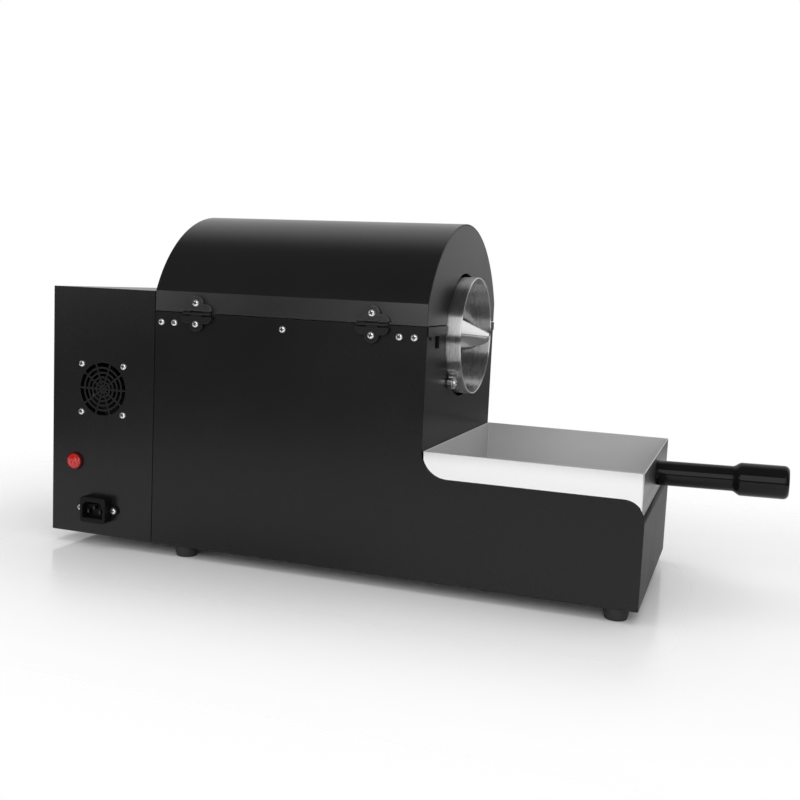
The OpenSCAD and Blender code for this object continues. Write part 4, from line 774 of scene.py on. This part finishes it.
# The key's face is hollow: it rises by 1.2 mm as the square of the way from its middle.
half_key, root_y, root_half = 13.2, 106.6, 12.2
z_key = np.linspace(-half_key, half_key, 25)
face_y = user_face + 2.8 + 1.2 * (z_key / half_key) ** 2 - 0.5 * (abs(z_key) > 12.5)
key = np.vstack([np.c_[face_y, switch_z + z_key],
                 [(root_y, switch_z + root_half), (root_y, switch_z - root_half)]])
dashes = [slab(about(knob_x, switch_z + dz, oblong(3.4, 0.9), 0.2, 3), 114.4, 114.95, 0.05)
          for dz in (8, -8)]
pivot = [(-8.2, 0), (-8.2, 1.4), (8.2, 1.4), (8.2, 0)]
piece("rocker_key", "direction_switch", [knob_black, print_white],
      [slab(key, knob_x - 6.5, knob_x + 6.5, 0.8, along_x),
       turned(pivot, (knob_x, user_face, switch_z), (1, 0, 0), 24), *((*dash, 1) for dash in dashes)],
      ["drum_rocker"])


# The lid: one sheet rolled to an arch between two upright flanges, closed by flat end plates.
# The right plate is notched for the mouth as the plate below it is.
lid_mid, lid_arc_z, lid_r = -11.5, 216.111, 133.84
lid_half, crease_half, lid_low, crease_z = 123, 122.6, 249.6, 270


def arch(margin, count=97):
    """The lid's section drawn in by a margin: an arc of radius lid_r - margin from one crease to
    the other, taken from left to right over the top. The flanges lean in by 0.4 to it."""
    half, r = crease_half - margin, lid_r - margin
    a = np.arcsin(half / r) * np.linspace(-1, 1, count)
    return np.c_[lid_mid + r * np.sin(a), lid_arc_z + r * np.cos(a)]


def foot_of(margin):
    """The lower ends of the lid's section drawn in by a margin, left and right."""
    return [(lid_mid - lid_half + margin, lid_low)], [(lid_mid + lid_half - margin, lid_low)]


lid_coat = powder_coat("lid_powder_coat", 0.006, 0.009, (0.2, 0.26), 9, 0.45, 0.0002)
lid_end_coat = powder_coat("lid_end_coat", 0.0075, 0.011, (0.28, 0.34), 12, 0.3)
# The flange's coat is the lid's powder coat in lighter colours: a painted highlight on the flanges.
flange_highlight_coat = powder_coat("lid_flange_highlight_coat", 0.011, 0.016, (0.2, 0.26), 9, 0.8)
(left, right), (left_in, right_in) = foot_of(0), foot_of(sheet)
shell = np.vstack([left, arch(0), right, right_in, arch(sheet)[::-1], left_in])
shell_points, shell_faces = slab(shell, box_x, mouth_x, 0.5, along_x)
# Faces below the crease lie on the flanges and take the lighter coat, with its painted highlight.
on_flange = [shell_points[f, 2].max() < crease_z for f in shell_faces]
by_coat = [[f for f, low in zip(shell_faces, on_flange) if low == kind] for kind in (0, 1)]
piece("lid_sheet", "lid", [lid_coat, flange_highlight_coat],
      [(shell_points, faces, kind) for kind, faces in enumerate(by_coat)], ["lid_shell"],
      sharp=12)
in_shell = sheet + 0.05
(plate_left, plate_right), lid_cut = foot_of(in_shell), notch_angle(lid_low)
closed = np.vstack([plate_left, arch(in_shell), plate_right])
notched = np.vstack([closed, arc(notch_r, lid_cut, 180 - lid_cut, 90)])
piece("lid_mouth_sheet", "lid", lid_end_coat, [slab(notched, mouth_x - sheet, mouth_x, 0.4, along_x)],
      ["lid_mouth_plate"])
piece("lid_rear_sheet", "lid", black_coat, [slab(closed, box_x, box_x + sheet, 0.4, along_x)],
      ["lid_rear_plate"])


# The lid's handle: a black round bar bent down to two pads that are welded to the flange.
def tube(path, radius, sides=24):
    """A round bar along a path: at each point a circle lies in the plane at right angles to the
    path's direction."""
    p = np.asarray(path, float)
    way = unit(np.gradient(p, axis=0))
    one = unit(np.cross(way, (0, 0, 1)))
    two = np.cross(way, one)
    a = np.linspace(0, 2 * np.pi, sides, endpoint=False)
    spoke = np.cos(a)[None, :, None] * one[:, None] + np.sin(a)[None, :, None] * two[:, None]
    return capped(p[:, None] + radius * spoke)


upper_z, left_x, right_x, bar_y, bar_r, bend_r = 259.3, -156.1, -46.1, 141.0, 4.5, 14
bend = np.linspace(0, np.pi / 2, 13)
corner = np.c_[bend_r * (1 - np.cos(bend)), bend_r * np.sin(bend)]
left_bend = np.c_[left_x + corner[:, 0], bar_y - bend_r + corner[:, 1]]
right_bend = np.c_[right_x - corner[::-1, 0], bar_y - bend_r + corner[::-1, 1]]
flat_path = np.vstack([[(left_x, user_face + 0.1), (left_x, 118)], left_bend, right_bend,
                       [(right_x, 118), (right_x, user_face + 0.1)]])
bar_path = np.c_[flat_path, np.full(len(flat_path), upper_z)]
pad = [(0, 0), (0, 7.4), (0.3, 7.5), (1.6, 7.4), (2, 7), (2.6, 5.2), (3.6, bar_r), (3.6, 0)]
handle_coat = powder_coat("handle_coat", 0.009, 0.013, (0.2, 0.3), 30, 0.3)
pads = [turned(pad, (x, user_face, upper_z), (0, 1, 0), 48) for x in (left_x, right_x)]
piece("lid_pull", "lid", handle_coat, [tube(bar_path, bar_r), *pads], ["lid_handle"])


# The hinges: two black four-lobed leaves each, split at the seam, with flush knuckles on a
# steel pin. One screw holds each leaf. The upper leaves take the lid flange's lighter coat, a painted
# highlight.
hinge_black = powder_coat("hinge_black", 0.006, 0.009, (0.26, 0.34), 40, 0.28, grain=1600)


def leaf_outline(relief, half_w=17.0, half_h=10.0, corner_r=7.0, lobe=7.5, lobe_z=10.3):
    """The upper half of the four-lobed leaf. Along each ray from the centre the edge is where it
    leaves the rounded oblong or the round lobe at height lobe_z, whichever is farther; the rays
    below the relief line are dropped."""
    a = np.radians(np.linspace(1, 179, 179))
    c, s = abs(np.cos(a)), np.sin(a)
    straight = np.minimum(half_w / np.maximum(c, 1e-6), half_h / s)
    corner_x, corner_z = half_w - corner_r, half_h - corner_r
    b = corner_x * c + corner_z * s
    reach_in = b ** 2 - (corner_x ** 2 + corner_z ** 2 - corner_r ** 2)
    rounded = b + np.sqrt(np.maximum(reach_in, 0))
    at_corner = (rounded * c > corner_x) & (rounded * s > corner_z) & (reach_in > 0)
    oblong_r = np.where(at_corner, rounded, straight)
    inside = lobe ** 2 - (lobe_z * c) ** 2
    lobe_r = np.where(inside > 0, lobe_z * s + np.sqrt(np.maximum(inside, 0)), 0)
    r = np.maximum(oblong_r, lobe_r)
    p = np.c_[r * np.cos(a), r * s]
    p = p[p[:, 1] > relief + 0.2]
    return np.vstack([p, [(p[-1, 0] + 0.05, relief), (p[0, 0] - 0.05, relief)]])


def knuckle(x, first, last, bore=1.28, r=1.95, rim=0.2):
    """A barrel on the hinge's axis from first to last, with the pin's bore through it."""
    profile = [(first, bore), (first, r - rim), (first + rim, r), (last - rim, r), (last, r - rim),
               (last, bore), (first, bore)]
    return turned(profile, (x, -136.75, seam_z), (1, 0, 0), 32)


# A leaf takes the last of its materials; its knuckles and their webs take the first.
half_leaf, web_from, web_to, web_back, web_front = leaf_outline(2.6), 1.5, 3.4, -134.95, -138.55
for name, body, old, up, coats, spans in (
        ("hinge_leaf_lower", "cabinet", "hinge_leaves_lower", -1, [hinge_black], [(-6, 6)]),
        ("hinge_leaf_upper", "lid", "hinge_leaves_upper", 1, [hinge_black, flange_highlight_coat],
         [(-14.75, -6.3), (6.3, 14.75)])):
    parts = []
    for x in hinge_x:
        leaf = slab(half_leaf * (1, up) + (x, seam_z), leaf_face, hinge_face, 0.8, steps=4)
        parts.append((*leaf, len(coats) - 1))
        for first, last in spans:
            web = about(x + (first + last) / 2, seam_z + up * (web_from + web_to) / 2,
                        oblong(last - first, web_to - web_from), 0.1, 2)
            parts += [knuckle(x, first, last), slab(web, web_front, web_back, 0.3)]
    piece(name, body, coats, parts, [old])
coat(screw_plate, "hinge_pins")
piece("hinge_screw_set", "lid", [screw_plate, recess_painted_shade],
      [part for i, x in enumerate(hinge_x)
       for part in pan_head((x, leaf_face, upper_z), (0, -1, 0), 1.1 + i, shank=6.4)],
      ["hinge_screws_upper"])


# The collecting tray: an open box folded from mirror-polished sheet, with tight bends and
# welded corners. Its outer end is a much darker brushed steel, and its inside has the mill's duller finish.
tray_polish = finish("tray_polish", 0.77, 0.8, 1.0, (0.03, 0.07), 14, 600, 6e-7, wave=5e-5)
tray_inside = finish("tray_inside", 0.52, 0.58, 0.5, (0.36, 0.46), 10, 900, 2e-6, (0.3, 1, 1))
tray_end = finish("tray_end_brushed", 0.1, 0.16, 1.0, (0.32, 0.42), 60, 1600, 6e-6, (1, 0.05, 1))
tray_low, tray_high, rim_z, wall = (42.75, -132.6, 92.3), (244.15, 109.6), 133.8, 1.0


def tray_row(inset, z, radius):
    """One level of the tray: its outline drawn in by inset, with rounded corners, at height z."""
    loop = softened(corners_of(tray_low[0] + inset, tray_low[1] + inset, tray_high[0] - inset,
                              tray_high[1] - inset), radius, 5)
    return np.c_[loop, np.full(len(loop), z)]


# Quarter circles make the bend under the walls, the two halves of the rim, and the inner bend.
outer_r, rim_r, inner_r = 1.6, 0.5, 1.2
outside, rim_out, rim_in, inside = [], [], [], []
for t in np.linspace(0, np.pi / 2, 5):
    u, v = 1 - np.sin(t), 1 - np.cos(t)
    outside.append(tray_row(outer_r * u, tray_low[2] + outer_r * v, max(0.3, 1.5 - 1.3 * u)))
    rim_out.append(tray_row(rim_r * v, rim_z + rim_r * np.sin(t), 1.5))
    rim_in.append(tray_row(wall - rim_r * u, rim_z + rim_r * np.cos(t), 1.2))
    inside.append(tray_row(wall + inner_r * v, tray_low[2] + wall + inner_r * u, 1.0))
out_p, out_f = grid(np.array([*outside, tray_row(0.0, rim_z, 1.5)]), round_columns=True)
handle_end = [out_p[f, 0].mean() > tray_high[0] - 0.15 for f in out_f]
at_end = [f for f, end in zip(out_f, handle_end) if end]
at_side = [f for f, end in zip(out_f, handle_end) if not end]
underside = list(range(len(outside[0])))
lining = capped(np.array(rim_out + rim_in + inside), start=False)
piece("tray_box", "tray", [tray_polish, tray_inside, tray_end],
      [(out_p, [*at_side, underside], 0), (out_p, at_end, 2), (*lining, 1)],
      ["collecting_tray"])


# The tray's handle: a turned black phenolic shank that swells into a thicker grip. A long bolt
# with a hexagon head and a washer goes into it from inside the tray.
phenolic = finish("black_phenolic", 0.0045, 0.008, rough=(0.03, 0.07), patch=30, grain=1500,
                  depth=1.5e-6, blue=0.0005, Specular_IOR_Level=0.18)
lean, handle_y, handle_z = np.radians(1.2), -11.5, 116.3
shank_r, grip_r, flare_from, flare, round_r, handle_length = 12.0, 15.75, 70, 8, 5, 121
# The flare's radius rises as 3 s^2 - 2 s^3, and a quarter circle rounds the grip's end.
stick = [(0.02, 0), (0.02, 11.6), (0.3, 11.95), (1.0, shank_r), (69.0, shank_r)]
stick += [(flare_from + flare * s, shank_r + (grip_r - shank_r) * s * s * (3 - 2 * s))
          for s in np.linspace(0, 1, 13)]
stick += [(90, grip_r), (105, grip_r)]
stick += [(handle_length - round_r * (1 - np.sin(t)), grip_r - round_r * (1 - np.cos(t)))
          for t in np.linspace(0, np.pi / 2, 9)]
stick += [(handle_length, 0)]
piece("tray_grip", "tray", phenolic,
      [turned(stick, (tray_high[0], handle_y, handle_z), (np.cos(lean), 0, np.sin(lean)), 96)],
      ["tray_handle"])
head = slab(arc(5.75, 0, 300, 6, handle_y, handle_z), 237.65, 241.65, 0.6, along_x)
wide_washer = [(241.65, 0), (241.65, 8.6), (241.9, 9), (242.9, 9), (243.15, 8.6), (243.15, 0)]
shank = [(243.1, 0), (243.1, 3), (289, 3), (289.15, 2.8), (289.15, 0)]
piece("grip_bolt", "tray", screw_plate,
      [head, turned(wide_washer, (0, handle_y, handle_z), (1, 0, 0), 48),
       turned(shank, (0, handle_y, handle_z), (1, 0, 0), 24)], ["handle_bolt"])
